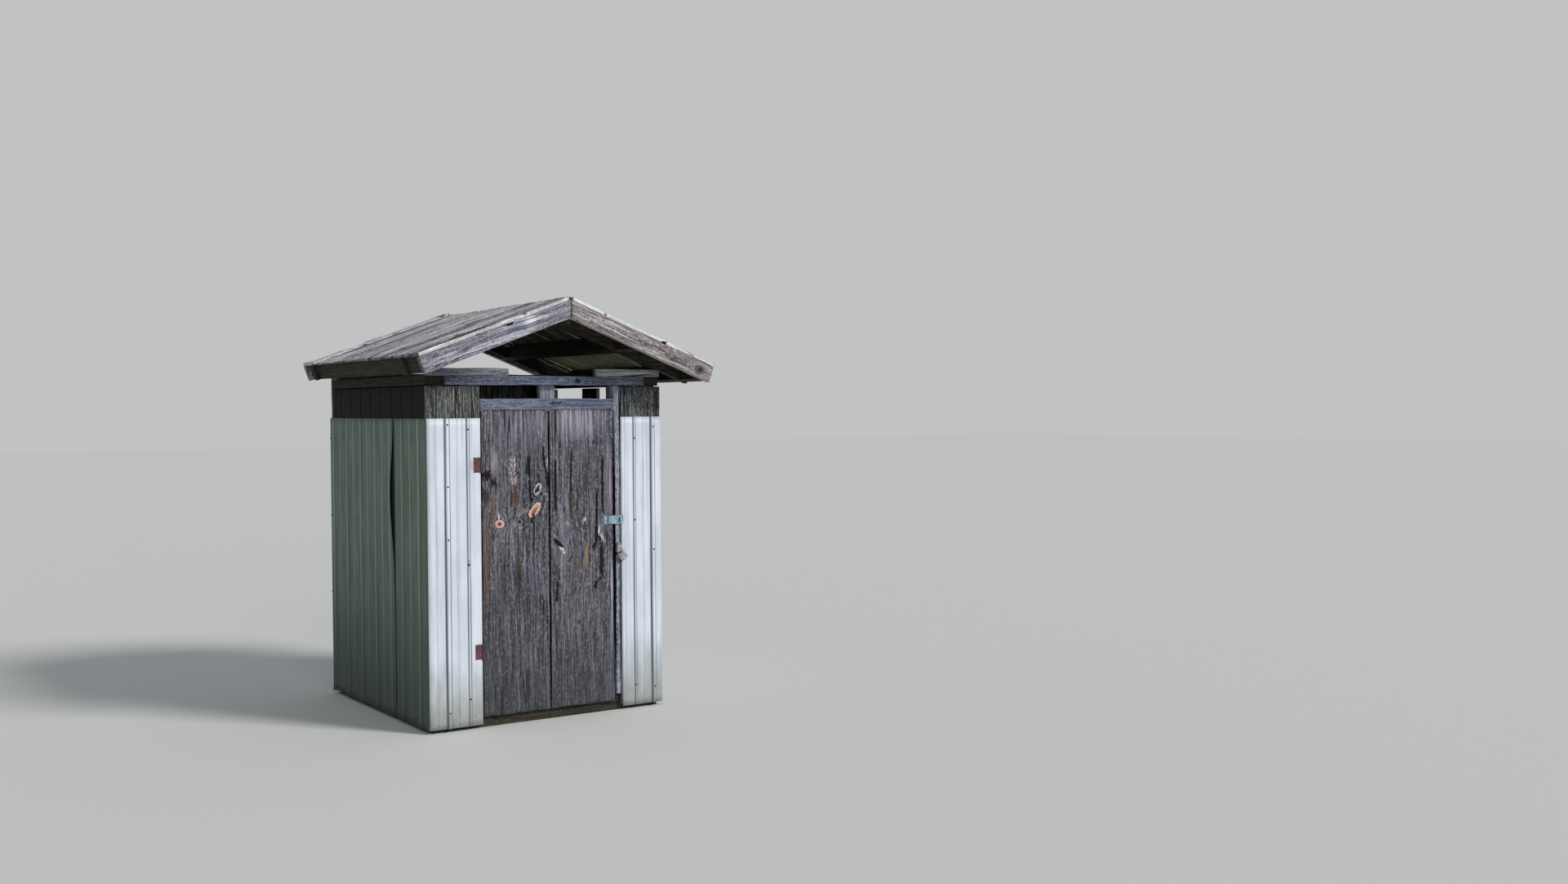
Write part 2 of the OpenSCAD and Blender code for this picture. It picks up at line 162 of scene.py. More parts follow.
def crack(width, *places, shade="#131216"):
    """A crack through places x, z, x, z and on: each run is a thin mark turned by atan2(dx, dz).

    Widths are half as much again as the real gaps, so that a crack still shows from eight metres.
    """
    ends = np.reshape(places, (-1, 2))
    middles = (ends[1:] + ends[:-1]) / 2.0
    runs = ends[1:] - ends[:-1]
    turns = np.degrees(np.arctan2(runs[:, 0], runs[:, 1]))
    halves = np.hypot(runs[:, 0], runs[:, 1]) * 0.5 + width / 4.0
    return [mark(*middle, width / 1.4, half, shade, 0.25, tilt=turn, deep=1.0, square=True)
            for middle, half, turn in zip(middles.tolist(), halves.tolist(), turns.tolist())]


def mark_reach(add, place, one, wobble, gap=None):
    """Reach, 1 at a mark's edge: |(u, v)| + wobble, and the gap, which is the place less the middle.

    u and v are the gap's parts across and along the mark, each over the mark's half size. A crack's
    run is square, so there the larger of |u| and |v| stands for the length. These are dot products,
    since a turned vector for each of a hundred marks is more than the renderer can hold at a time.
    """
    if one["middle"]:
        gap = add("VectorMath SUBTRACT", place, one["middle"])
    turn, half_x, half_z = math.radians(one["tilt"]), *one["size"]
    across = (math.cos(turn) / half_x, 0.0, -math.sin(turn) / half_x)
    along = (math.sin(turn) / half_z, 0.0, math.cos(turn) / half_z)
    u = add("VectorMath DOT_PRODUCT", gap, across)
    v = add("VectorMath DOT_PRODUCT", gap, along)
    if one["square"]:
        u = add("Math ABSOLUTE", u)
        v = add("Math ABSOLUTE", v)
        reach = add("Math MAXIMUM", u, v)
    else:
        reach = add("VectorMath LENGTH", add("CombineXYZ", u, 0.0, v))
    return add("Math ADD", reach, wobble), gap


# %% [markdown]
# ## Weathered softwood
# Softwood left bare outdoors turns silver grey: sun and rain take the lignin from its face, mildew
# darkens it in bands, and the soft early wood wears away between the hard late wood, so the grain
# stands up as fine ridges with drying checks along it. The pattern is worked out in the board's
# own directions: x across, y through and z along the grain. Noise that is squeezed across and
# stretched along gives fibres; the widest of them is drawn at 9 to 20 mm, coarser than late wood
# is, so that it still shows from eight metres off. A knot pushes the lines of grain apart.

# %% Weathered softwood
def grain_place(add, grain):
    """The board's own coordinates: the grain attribute, or Object coordinates with z put along."""
    if grain == "attribute":
        return add("Attribute", attribute_name="grain").node.outputs["Vector"]
    place = add("TexCoord").node.outputs["Object"]
    parts = add("SeparateXYZ", place).node.outputs
    order = {"X": "YZX", "Y": "XZY", "Z": "XYZ"}[grain]
    return add("CombineXYZ", *[parts[axis] for axis in order])


def bare_softwood(name, shades, grain="attribute", marks=(), knot_mm=10.0, checks=1.0, nicks=0.6,
                  coarse=1.0, darker_below=None, variety=0.10, under=None, soft_end=0.55):
    """Bare weathered softwood. shades: worn fibre, silver, mildew, brown, check; marks: its own.

    checks scales the long drying checks, nicks the short ones, coarse the width of the grain and
    variety the step from board to board. darker_below is (clear_height, foot_height, shade, amount)
    by height: the colour darkens towards the ground, from moisture, and on the door also as painted
    shade. under is a green film on undersides, moss with a painted reflection of green light, and the
    sides of the inner boards, down in the gaps between them, get painted shade.
    """
    worn, silver, mildew, brown, check = shades.split()
    material, shader, add = new_material(name)
    place = grain_place(add, grain)
    parts = add("SeparateXYZ", place).node.outputs

    # a knot in some cells of a plane pattern about 0.4 m wide, and this board's own marks
    slide = add("Math MULTIPLY_ADD", parts["Y"], 0.37, parts["X"])
    flat = add("CombineXYZ", slide, parts["Z"])
    cell = add("TexVoronoi", flat, sockets={"Scale": 2.2}, voronoi_dimensions="2D")
    gap = add("VectorMath SUBTRACT", flat, cell.node.outputs["Position"])
    sides = add("SeparateXYZ", gap).node.outputs
    gap = add("CombineXYZ", sides["X"], 0.0, sides["Y"])
    quick = noise(add, place, 9.0, 16.0, 2.0)
    wobble = add("Math MULTIPLY_ADD", quick, 0.7, -0.35)
    slow = noise(add, place, 90.0, 420.0, 2.0)
    shift = add("Math MULTIPLY_ADD", slow, 0.03, -0.015)
    spots = [mark(None, None, knot_mm, knot_mm / 0.65, brown, push=0.9, rim=mildew, core=check), *marks]
    reaches = [None] * len(spots)
    for index, one in enumerate(spots):
        if one["push"]:
            reaches[index], gap = mark_reach(add, place, one, wobble, gap)
            side = add("VectorMath DOT_PRODUCT", gap, (1.0, 0.0, 0.0))
            near = add("MapRange", reaches[index], 3.4, 0.6, 0.0, -one["push"],
                       interpolation_type="SMOOTHSTEP")
            shift = add("Math MULTIPLY_ADD", near, side, shift)

    # growth bands, streaks, fibres and threads, all bent round the knots; quick is a fine speckle
    bent_x = add("Math ADD", parts["X"], shift)
    bent = add("CombineXYZ", bent_x, parts["Y"], parts["Z"])
    band = noise(add, bent, 18.0 * coarse, 620.0, 3.0, 0.6)
    streak = noise(add, bent, 9.0 * coarse, 380.0, 3.0, 0.6, 31.0)
    fibre = noise(add, bent, 4.5 * coarse, 170.0, 3.0, 0.65)
    thread = noise(add, bent, 2.2 * coarse, 60.0, 2.0, 0.6)
    warm = noise(add, bent, 38.0 * coarse, 1500.0, 2.0, 0.5, 17.0)
    blotch = noise(add, place, 75.0, 240.0, 4.0, 0.6, 7.0)

    # the other marks have edges that the fibres make ragged, about 1 mm across and 12 mm along
    across = add("Math MULTIPLY_ADD", fibre, 0.006, -0.003)
    along = add("Math MULTIPLY_ADD", thread, 0.08, -0.04)
    ragged = add("CombineXYZ", across, 0.0, along)
    ragged = add("VectorMath ADD", place, ragged)

    # long checks follow the contour 0.5 of a slow noise; short ones are the lows of a quick one
    split = noise(add, bent, 30.0 * coarse, 1100.0, 1.0, 0.5, 3.0)
    opening = noise(add, place, 90.0, 600.0, 2.0, 0.5, 11.0)
    width = add("MapRange", opening, 0.46, 0.66, -0.014, 0.020)
    away = add("Math SUBTRACT", split, 0.5)
    away = add("Math ABSOLUTE", away)
    away = add("Math SUBTRACT", away, width)
    opened = add("MapRange", away, 0.004, -0.004, 0.0, checks)
    lows = noise(add, bent, 5.0 * coarse, 90.0, 2.0, 0.5, 23.0)
    short = add("MapRange", lows, 0.39, 0.31, 0.0, nicks)
    opened = add("Math MAXIMUM", opened, short)

    board = add("Attribute", attribute_name="board").node.outputs["Vector"]
    state = add("SeparateXYZ", board).node.outputs
    tone = add("Math MULTIPLY_ADD", state["X"], variety, band)
    colour = layer(add, mildew, silver, tone, 0.40, 0.60)
    for over, *spread in (
            (brown, warm, 0.50, 0.64, 0.5),
            (worn, streak, 0.52, 0.66, 0.6), (mildew, streak, 0.48, 0.37, 0.7),
            (worn, fibre, 0.52, 0.66, 0.7), (check, fibre, 0.45, 0.33, 0.6),
            (worn, thread, 0.54, 0.70, 0.5), (check, thread, 0.44, 0.30, 0.5),
            (worn, quick, 0.53, 0.70, 0.55), (check, quick, 0.47, 0.29, 0.50),
            (mildew, blotch, 0.50, 0.70, 0.4),
            (mildew, state["Y"], 0.35, 1.0, soft_end), (worn, state["Z"], 0.30, 1.0, 0.4)):
        colour = layer(add, colour, over, *spread)
    for reach, one in zip(reaches, spots):
        over, amount = one["shade"], one["amount"]
        if reach is None:
            reach, gap = mark_reach(add, ragged, one, wobble)
        if one["soft"] > 0.65:
            over = layer(add, linear(over, 0.5), linear(over, 1.4), streak, 0.40, 0.60)
            amount = add("MapRange", fibre, 0.38, 0.54, 0.5 * amount, amount)
        colour = layer(add, colour, over, reach, 1.0, 1.0 - one["soft"], amount)
        rings = ((0.88, one["rim"], 0.26, 0.08, 0.9), (1.22, check, 0.20, 0.02, 0.5)) if one["rim"] else ()
        for middle, shade, *spread in rings:
            ring = add("Math SUBTRACT", reach, middle)
            ring = add("Math ABSOLUTE", ring)
            colour = layer(add, colour, shade, ring, *spread)
        if one["core"]:
            colour = layer(add, colour, one["core"], reach, 0.50, 0.25)
        if one["deep"]:
            sunk = add("MapRange", reach, 1.0, 0.6, 0.0, one["deep"])
            opened = add("Math MAXIMUM", opened, sunk)
    colour = layer(add, colour, check, opened, 0.0, 1.0)
    if darker_below:
        clear_height, foot_height, shade, amount = darker_below
        up = add("SeparateXYZ", add("TexCoord").node.outputs["Object"]).node.outputs["Z"]
        up = add("Math MULTIPLY_ADD", blotch, 0.5, up)
        colour = layer(add, colour, shade, up, clear_height + 0.25, foot_height + 0.25, amount)
    if under:
        # painted shade on the sides of the inner boards, down in the gaps between them; then a green film
        # on undersides: moss with a painted reflection of green light
        facing = add("SeparateXYZ", add("TexCoord").node.outputs["Normal"])
        sideways = add("Math ABSOLUTE", facing.node.outputs["Y"])
        inner = add("Math ABSOLUTE", parts["X"])
        inner = add("MapRange", inner, 0.73, 0.70, 0.0, 0.85)
        colour = layer(add, colour, check, sideways, 0.5, 0.9, inner)
        facing = facing.node.outputs["Z"]
        patchy = add("MapRange", blotch, 0.36, 0.56, 0.45, 1.0)
        colour = layer(add, colour, under, facing, -0.50, -0.85, patchy)

    height = add("Math MULTIPLY_ADD", thread, 0.35, fibre)
    height = add("Math MULTIPLY_ADD", streak, 0.5, height)
    height = add("Math MULTIPLY_ADD", opened, -0.9, height)
    normal = add("Bump", sockets={"Strength": 0.65, "Distance": 0.004, "Height": height})
    set_sockets(shader, {"Base Color": colour, "Normal": normal, "Roughness": 0.88,
                         "Specular IOR Level": 0.25, "IOR": 1.5})
    return material


# %% [markdown]
# ## The door's own marks
# The door's two wide boards carry marks that everyone notices: a ringed knot and a long leaning
# one with pale rims, a split knot hole, brown runs under them and a few wide cracks. Each is placed
# in millimetres from the ridge line and the ground. The other timber gets its shades read off the
# picture: cool and silvery where the sun reaches it, near black where it lies in deep shade, which
# is painted into its colour.

# %% Door marks
chevrons = [mark(x + side * 10, z, 18, 5.5, "#bfb0b5", 0.5, tilt=side * -50)
            for x, z in ((-232, 1395), (-230, 1370), (-235, 1346), (-233, 1322), (-228, 1297), (-226, 1277))
            for side in (-1, 1)]
door_marks = [
    # pale and dark patches and brown stains; the pale one over the top of the right board is bleached wood
    # with painted sunlight on it
    mark(130, 1600, 250, 140, "#9b99a6", 1.0, 0.85),
    mark(-180, 1560, 200, 160, "#8d8b97", 1.0, 0.5),
    mark(-335, 1390, 50, 110, "#85828b", 1.0, 0.7),
    mark(-388, 900, 40, 460, "#5a4637", 0.8),
    mark(-340, 1130, 14, 140, "#6e5440", 0.8, 0.9),
    mark(-205, 800, 28, 240, "#3b2e28", 0.8),
    mark(-310, 700, 70, 300, "#3c3e44", 1.0, 0.6),
    mark(-120, 720, 60, 340, "#3f454f", 1.0, 0.6),
    mark(105, 1160, 16, 160, "#4a3529", 0.8, 0.9),
    mark(130, 800, 70, 280, "#403b3c", 1.0, 0.6),
    mark(222, 1100, 22, 120, "#6d6058", 0.9, 0.5),
    mark(322, 960, 24, 70, "#242329", 0.9, 0.85),
    mark(338, 1250, 24, 360, "#8b8496", 0.8, 0.85),
    mark(350, 600, 8, 360, "#b9b4bd", 0.6, 0.8),
    mark(-380, 1320, 46, 50, "#171411", 0.65),
    mark(-340, 1280, 34, 32, "#1a1715", 0.65),
    mark(-388, 1210, 34, 75, "#2f2d1f", 0.65, 0.9),
    mark(-146, 1339, 22, 40, "#1f201b", 0.65, 0.9),
    # curly grain with a brown run of resin under it
    mark(-230, 1330, 26, 80, "#433d41", 0.8, 0.8),
    *chevrons,
    mark(-218, 1200, 24, 90, "#6e523b", 0.7),
    mark(-240, 1200, 7, 70, "#221d1a", 0.6, 0.9),
    mark(-197, 1190, 6, 60, "#2a2420", 0.6, 0.7),
    # the small ringed knot and the stains round it
    mark(-258, 1076, 40, 12, "#26272a", 0.9, 0.85),
    mark(-312, 1100, 8, 24, "#bdb4ba", 0.7),
    mark(-318, 1018, 18, 12, "#7d6c60", 0.7),
    mark(-309, 1062, 24, 20, "#b07f70", 0.5, push=0.9, rim="#dcb8aa", core="#2a1815"),
    # the whorl and the ear of tan wood beside the long knot
    mark(-225, 1055, 26, 22, "#8f8d88", 0.7, tilt=35),
    mark(-197, 1068, 17, 15, "#2b2828", 0.6, push=0.5, rim="#8a8186"),
    mark(-192, 1038, 18, 11, "#b39a96", 0.6, rim="#332d2e"),
    mark(-194, 1012, 20, 10, "#8f8385", 0.6, tilt=-25, rim="#2c2728"),
    mark(-153, 1011, 8, 22, "#8d8a86", 0.7, tilt=-30),
    mark(-160, 1123, 28, 12, "#957d68", 0.6),
    mark(-195, 1105, 30, 8, "#8d8c84", 0.7, tilt=-50),
    mark(-106, 1126, 21, 48, "#b98a7b", 0.5, tilt=40, push=0.9, rim="#dcb6a8", core="#8a5f52"),
    mark(-110, 1118, 5, 26, "#4a2f29", 0.7, tilt=40),
    mark(-84, 1105, 4, 46, "#3a2724", 0.6, tilt=40),
    mark(-113, 1072, 10, 18, "#c5bfc6", 0.8, 0.7),
    # the dark ringed knot by the board's edge
    mark(-88, 1237, 18, 32, "#6e6b72", 0.5, tilt=25, push=0.9, rim="#c6bfc8", core="#121014"),
    mark(-101, 1226, 6, 20, "#151316", 0.5, tilt=10),
    mark(-48, 1212, 6, 24, "#c9c4c8", 0.7, tilt=-60),
    mark(-36, 1360, 6, 75, "#b9a3ab", 0.7, tilt=10),
    # the split knot hole in the right board, with pale lips
    mark(48, 900, 60, 100, "#8b8990", 1.0, 0.8, push=0.3),
    mark(47, 913, 9, 38, "#dedce0", 0.6, tilt=-50),
    mark(19, 968, 7, 32, "#b3b1b7", 0.7, tilt=-50),
    mark(29, 942, 14, 44, "#0f0e10", 0.3, tilt=-50, push=0.4, deep=1.0),
    # pale torn fibres and the tan run under them
    mark(188, 1056, 10, 24, "#c9c6cb", 0.6, tilt=40),
    mark(83, 1044, 18, 12, "#b3b0b0", 0.7),
    mark(140, 1038, 10, 10, "#a5a1a2", 0.7),
    mark(197, 860, 14, 85, "#8a6d56", 0.6),
    mark(209, 935, 8, 55, "#8d7a6c", 0.6, tilt=10),
    mark(233, 880, 12, 45, "#6f5357", 0.8, 0.8),
    mark(218, 850, 6, 55, "#1f1a19", 0.6),
    # painted shadow in the gaps: along the middle joint, the right edge and the top edge under the lintel
    mark(-20, 870, 8.5, 900, "#0b0b0d", 0.5, square=True),
    mark(366, 870, 7, 900, "#0f0e11", 0.5, square=True),
    mark(-20, 1665, 450, 7.5, "#100f12", 0.5, square=True),
    # cracks, the widest with a pale splinter along it
    mark(276, 1000, 7, 36, "#c0bcc4", 0.5, tilt=6),
    mark(296, 958, 7, 42, "#b8b3ba", 0.5, tilt=-36),
    *crack(11, 265, 1218, 261, 1027),
    *crack(15, 260, 1027, 258, 945),
    *crack(13, 258, 945, 237, 892, shade="#1c2322"),
    *crack(12, 272, 965, 291, 933),
    *crack(16, 290, 936, 287, 745),
    *crack(16, 287, 745, 254, 720, 249, 684),
    *crack(12, -140, 1418, -136, 1294, -132, 1194, -119, 1169),
    *crack(12, -55, 1461, -51, 1391, -35, 1306),
    *crack(17, -35, 1306, -22, 1250),
    *crack(11, 17, 1402, 15, 1100),
    *crack(8, 113, 1430, 105, 1200, shade="#2b2624"),
    *crack(12, 300, 1431, 298, 1073),
    *crack(11, 24, 748, 18, 621),
    *crack(9, -60, 645, -61, 566),
]
print("marks on the door:", len(door_marks))

# %% Timbers
X, Y, Z = np.eye(3)
ROOF_RISE = 0.261  # of the roof's top, from over the walls up to the ridge
LEFT_REACH, RIGHT_REACH = 0.705, 0.665  # from the ridge line out to the walls' boards
LEANING = {"left": (-1.0, math.atan2(ROOF_RISE, LEFT_REACH)),
           "right": (1.0, math.atan2(ROOF_RISE, RIGHT_REACH)), "button": (1.0, math.radians(56))}
DOWN = {part: np.array([sign * math.cos(angle), 0.0, -math.sin(angle)])
        for part, (sign, angle) in LEANING.items()}
RISE = {part: np.array([sign * math.sin(angle), 0.0, math.cos(angle)])
        for part, (sign, angle) in LEANING.items()}


def on_board(x, z, part):
    """A point x from the ridge line and z from the ground as (across, along) on a leaning part."""
    across, along = RISE[part], DOWN[part]
    return x * across[0] + z * across[2], x * along[0] + z * along[2]


# The door darkens towards the ground, partly from moisture and partly as painted shade of its lower part.
door_wood = bare_softwood(
    "bare_softwood_door", "#98969f #5a5963 #33333a #4e4139 #0e0d10", marks=door_marks,
    knot_mm=7.0, checks=0.8, nicks=0.5, darker_below=(0.9, 0.0, "#343838", 0.6))
# The header and lintel carry the darker blue-grey they have in the roof's shade: painted shade over pale
# silver wood.
header_wood = bare_softwood(
    "bare_softwood_header_in_painted_shade", "#878da0 #656b7c #434858 #4f4e55 #1c1e26", knot_mm=4.0,
    nicks=0.4, checks=0.3,
    marks=[mark(1814, 153, 11, 14, "#121115", push=0.8, deep=0.7, rim="#15131a")])
lintel_wood = bare_softwood(
    "bare_softwood_lintel_in_painted_shade", "#8a90a3 #697184 #474d5c #565560 #1c1e26", knot_mm=4.0,
    nicks=0.4, checks=0.3, marks=[
        mark(1693, 11, 10, 13, "#0c0b0e", 0.4, deep=0.6),
        mark(1693, 47, 7, 18, "#121116", 0.5, deep=0.6),
        # painted shade over the lintel's right part
        mark(1700, 220, 60, 220, "#4b5265", 0.9, 0.8)])
# The pale greenish patch on the right block is painted light, lifting it out of the rake's shadow, with a
# green tint of moss.
plate_wood = bare_softwood(
    "bare_softwood_blocks", "#a6abb6 #82878f #5d6265 #6d6c62 #26282a", nicks=0.5,
    marks=[mark(1858, 465, 60, 250, "#a9ad95", 1.0, 0.6)])
wall_wood = bare_softwood(
    "mildewed_softwood_wall", "#8f9086 #4a4e57 #1d2125 #38352f #08090b",
    nicks=1.0, coarse=1.4, darker_below=(1.6, 0.2, "#24282a", 0.5))
# The left wall's boards under the eave are near black: painted shade of the deep shade there.
side_wood_in_painted_shade = bare_softwood(
    "softwood_sides_in_painted_shade", "#1e1b14 #14120d #0d0b08 #140f0a #050403", nicks=0.4)
left_rake_wood = bare_softwood(
    "silvered_softwood_left_rake", "#d2d0da #94939f #565661 #6c6767 #1d1c23", nicks=1.0,
    variety=0.02, coarse=1.3, knot_mm=4.0,
    marks=[mark(*on_board(-235, 2109, "left"), 35, 50, "#c5c1c8", 0.7, push=0.4),
           mark(*on_board(-300, 2090, "left"), 50, 90, "#6f7688", 0.9, 0.6)])
right_rake_wood = bare_softwood(
    "silvered_softwood_right_rake", "#cdc7c6 #958e8c #5c5556 #6b625c #221d1f", nicks=1.0,
    variety=0.02, coarse=1.3, knot_mm=4.0,
    marks=[mark(*on_board(785, 1873, "right"), 18, 24, "#3c353c", push=0.9, rim="#57505a",
                core="#1e1a1f"),
           mark(*on_board(700, 1925, "right"), 30, 50, "#5d5b66", 0.9, 0.8)])
# The palest strip, along the far boards, is painted sunlight on their tops; the other strips lay darker and
# paler rows along the slope. The green under film is moss with a painted reflection of green light.
roof_wood = bare_softwood(
    "silvered_softwood_roof", "#fffaff #bdb5be #453f46 #6a5a54 #141116", nicks=1.0,
    coarse=3.0, variety=0.60, under="#6b7548", marks=[mark(*row, square=True) for row in (
        (840, -340, 110, 600, "#fbf5fb", 0.4, 0.9), (670, -340, 50, 600, "#1f1b21", 0.6, 0.85),
        (300, -240, 45, 350, "#2a262c", 0.8, 0.8), (-50, -440, 80, 400, "#f4eef4", 0.8, 0.7))])
# The jamb strip's black line by the door is a painted shadow in the gap, and its dark line by the steel is
# painted shade on its edge.
jamb_wood = bare_softwood(
    "silvered_softwood_jambs", "#bcbfce #9598a9 #6c6e7d #6f6a6c #26262c", nicks=0.5,
    marks=[mark(375, 850, 7, 820, "#0f0e11", 0.5, square=True),
           mark(403, 450, 6, 400, "#2b2a31", 0.7, square=True)])
button_wood = bare_softwood(
    "rotten_softwood_button", "#cfccd8 #9b99a5 #62616a #5d5148 #1a191a", nicks=1.0,
    knot_mm=3.0, checks=0.0, soft_end=0.3, marks=[
        mark(*on_board(x, z, "button"), *rest) for x, z, *rest in (
            (415, 885, 30, 40, "#c0bcc8", 0.8), (372, 868, 14, 24, "#121113", 0.6),
            (392, 824, 13, 22, "#121113", 0.6), (400, 885, 3, 34, "#4b4844", 0.8))])
# The back rakes are paler than the front ones: silvered wood with painted sunlight on their top edges.
back_rake_wood = bare_softwood(
    "silvered_softwood_back_rakes_with_painted_sunlight", "#efeaf1 #c3bcc4 #6d676e #6b625c #221d1f", grain="X")
# The inner frame's shades are dark because it stands in the hut's shade: painted shade.
frame_woods = {
    axis: bare_softwood(f"softwood_frame_in_painted_shade_{axis.lower()}",
                        "#4d483f #38332c #25221d #332a20 #0f0d0b", grain=axis)
    for axis in "XYZ"}
print("wood materials:", len([m for m in bpy.data.materials if "softwood" in m.name]))

# %% [markdown]
# ## Boards from the frame
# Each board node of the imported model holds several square-edged solids. Triangles that share a
# corner belong to one board, so labels spread over the triangles until nothing changes, and each
# board's box is read off along its own axes. The visible board is a grid on that box: its rim is
# rounded as a quarter circle, its edges wander inwards where they have worn and its ends are
# ragged. Everything moves inwards only, so a board never leaves the room its solid holds.

# %% Boards from the frame
def boards_in(node, axes):
    """Boxes of a node's boards: the low and high coordinate of each along the given axes."""
    mesh = nodes[node].data
    points = np.empty(len(mesh.vertices) * 3)
    mesh.vertices.foreach_get("co", points)
    corners, same = np.unique(np.round(points.reshape(-1, 3), 5), axis=0, return_inverse=True)
    turns = np.empty(len(mesh.loops), dtype=int)
    mesh.loops.foreach_get("vertex_index", turns)
    triangles = same.reshape(-1)[turns].reshape(-1, 3)
    label = np.arange(len(corners))
    while True:
        before = label.copy()
        np.minimum.at(label, triangles, label[triangles].min(axis=1)[:, None])
        label = label[label]
        if (label == before).all():
            break
    placed = corners @ np.array(axes).T
    return [(placed[label == one].min(axis=0), placed[label == one].max(axis=0))
            for one in np.unique(label[triangles])]


def smooth_steps(rng, places, spacing):
    """Random heights 0..1 every `spacing` metres, joined by 3t^2 - 2t^3 steps, at these places."""
    steps = (places - places.min()) / spacing
    low = steps.astype(int)
    part = steps - low
    part = part * part * (3.0 - 2.0 * part)
    heights = rng.random(low.max() + 2)
    return heights[low] * (1.0 - part) + heights[low + 1] * part


def grid_quads(rows, count, closed):
    """Quads between the neighbours in rows of count points; a closed row's last point meets its first."""
    i, j = np.meshgrid(np.arange(rows - 1), np.arange(count if closed else count - 1), indexing="ij")
    k = (j + 1) % count
    i, above = i * count, (i + 1) * count
    return np.stack([i + j, i + k, above + k, above + j], axis=2).reshape(-1, 4)


def worn_board(size, rng, cell, wear, ragged, rim, cupped):
    """A board as a closed grid in its own axes, x across, y through, z along, from a corner at zero.

    Depth = thickness - rim + sqrt(rim^2 - (rim - d)^2) with d the distance to the nearest edge,
    up to the rim. Sides move in by wear * noise(z), ends by ragged * noise(x), faces by up to
    cupped * noise. Returns points, quads, and tone, end and edge nearness for each point.
    """
    width, thick, length = size
    rim = min(rim, 0.3 * thick)
    ends = rim * np.array([0.0, 0.3])
    across, along = [
        np.concatenate([ends, np.linspace(rim, span - rim, max(3, round(span / step))), span - ends[::-1]])
        for span, step in ((width, cell[0]), (length, cell[1]))]
    x, z = np.meshgrid(across, along)
    side = np.minimum(x, width - x)
    end = np.minimum(z, length - z)
    d = np.minimum(np.minimum(side, end), rim)
    fall = rim - np.sqrt(rim ** 2 - (rim - d) ** 2)
    left, near = [wear * smooth_steps(rng, along, 0.05)[:, None] ** 2 for _ in range(2)]
    low, high = [ragged * (smooth_steps(rng, across, 0.012) * smooth_steps(rng, across, 0.05))[None, :]
                 for _ in range(2)]
    moved_x = left + x * (width - left - near) / width
    moved_z = low + z * (length - low - high) / length
    dent = cupped * smooth_steps(rng, along, 0.3)[:, None] * smooth_steps(rng, across, 0.03)[None, :]
    top = np.stack([moved_x, thick - fall - dent, moved_z], axis=2)
    under = np.stack([moved_x, fall + dent, moved_z], axis=2)[:, ::-1]
    ring = np.concatenate([top, under], axis=1)
    rows, count = ring.shape[:2]
    walls = grid_quads(rows, count, True)[:, [0, 3, 2, 1]]
    j = np.arange(count // 2 - 1)
    cap = np.stack([j, j + 1, count - 2 - j, count - 1 - j], axis=1)
    lid = (rows - 1) * count + cap[:, ::-1]
    quads = np.concatenate([walls, cap, lid])
    tone = np.full(x.shape, rng.uniform(-1, 1))
    one = np.stack([tone, np.exp(-end / 0.012), np.exp(-side / 0.005)], axis=2)
    state = np.concatenate([one, one[:, ::-1]], axis=1)
    return ring.reshape(-1, 3), quads, state.reshape(-1, 3)


def joined(parts):
    """Several meshes as one: each one's faces move on by the number of points before it."""
    points, faces, *rest = zip(*parts)
    starts = np.cumsum([0, *map(len, points[:-1])])
    faces = [quads + start for quads, start in zip(faces, starts)]
    return [np.concatenate(rows) for rows in (points, faces, *rest)]


def finish_piece(name, points, faces, material, body, replaced=(), attributes=None):
    """Puts points and faces into a mesh, smooth, with its attributes, material and body."""
    mesh = bpy.data.meshes.new(name)
    mesh.from_pydata(points.tolist(), [], faces.tolist())
    for label, values in (attributes or {}).items():
        data = mesh.attributes.new(label, "FLOAT_VECTOR", "POINT").data
        data.foreach_set("vector", values.astype(np.float32).ravel())
    mesh.polygons.foreach_set("use_smooth", np.ones(len(mesh.polygons), dtype=bool))
    mesh.materials.append(material)
    piece = bpy.data.objects.new(name, mesh)
    bpy.context.scene.collection.objects.link(piece)
    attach(piece, body)
    if replaced:
        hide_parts(*replaced)
    print(name, len(mesh.polygons), "faces")
    return piece


def worn_boards(name, node, across, along, material, body="hut", seed=1,
                cell=(0.016, 0.05), wear=0.003, ragged=0.004, rim=0.003, cupped=0.0006, reshape=None):
    """Replaces a node's boards by worn ones; through = along x across, and reshape may bend them."""
    across = np.array(across, dtype=float)
    along = np.array(along, dtype=float)
    through = np.cross(along, across)
    axes = np.array([across, through, along])
    rng = np.random.default_rng(seed)
    parts = []
    for low, high in boards_in(node, axes):
        own, quads, condition = worn_board(high - low, rng, cell, wear, ragged, rim, cupped)
        own = own + low
        if reshape:
            own = reshape(own, low, high)
        grain = own - axes @ [RIDGE_X, 0.0, 0.0] + [0.0, rng.uniform(0.5, 9.0), 0.0]
        parts.append((own @ axes, quads, grain, condition))
    points, faces, grain, state = joined(parts)
    return finish_piece(name, points, faces, material, body, [node], {"grain": grain, "board": state})


door_sizes = [np.round(high - low, 3).tolist() for low, high in boards_in("door_boards", (X, Y, Z))]
print("door boards:", door_sizes)

# %% [markdown]
# ## Walls, door and frame timber
# The upright boards have their grain along Z. Header, lintel, blocks and back header lie along X.
# The turn button hangs askew, and its corner towards the door has rotted off along a plumb line.

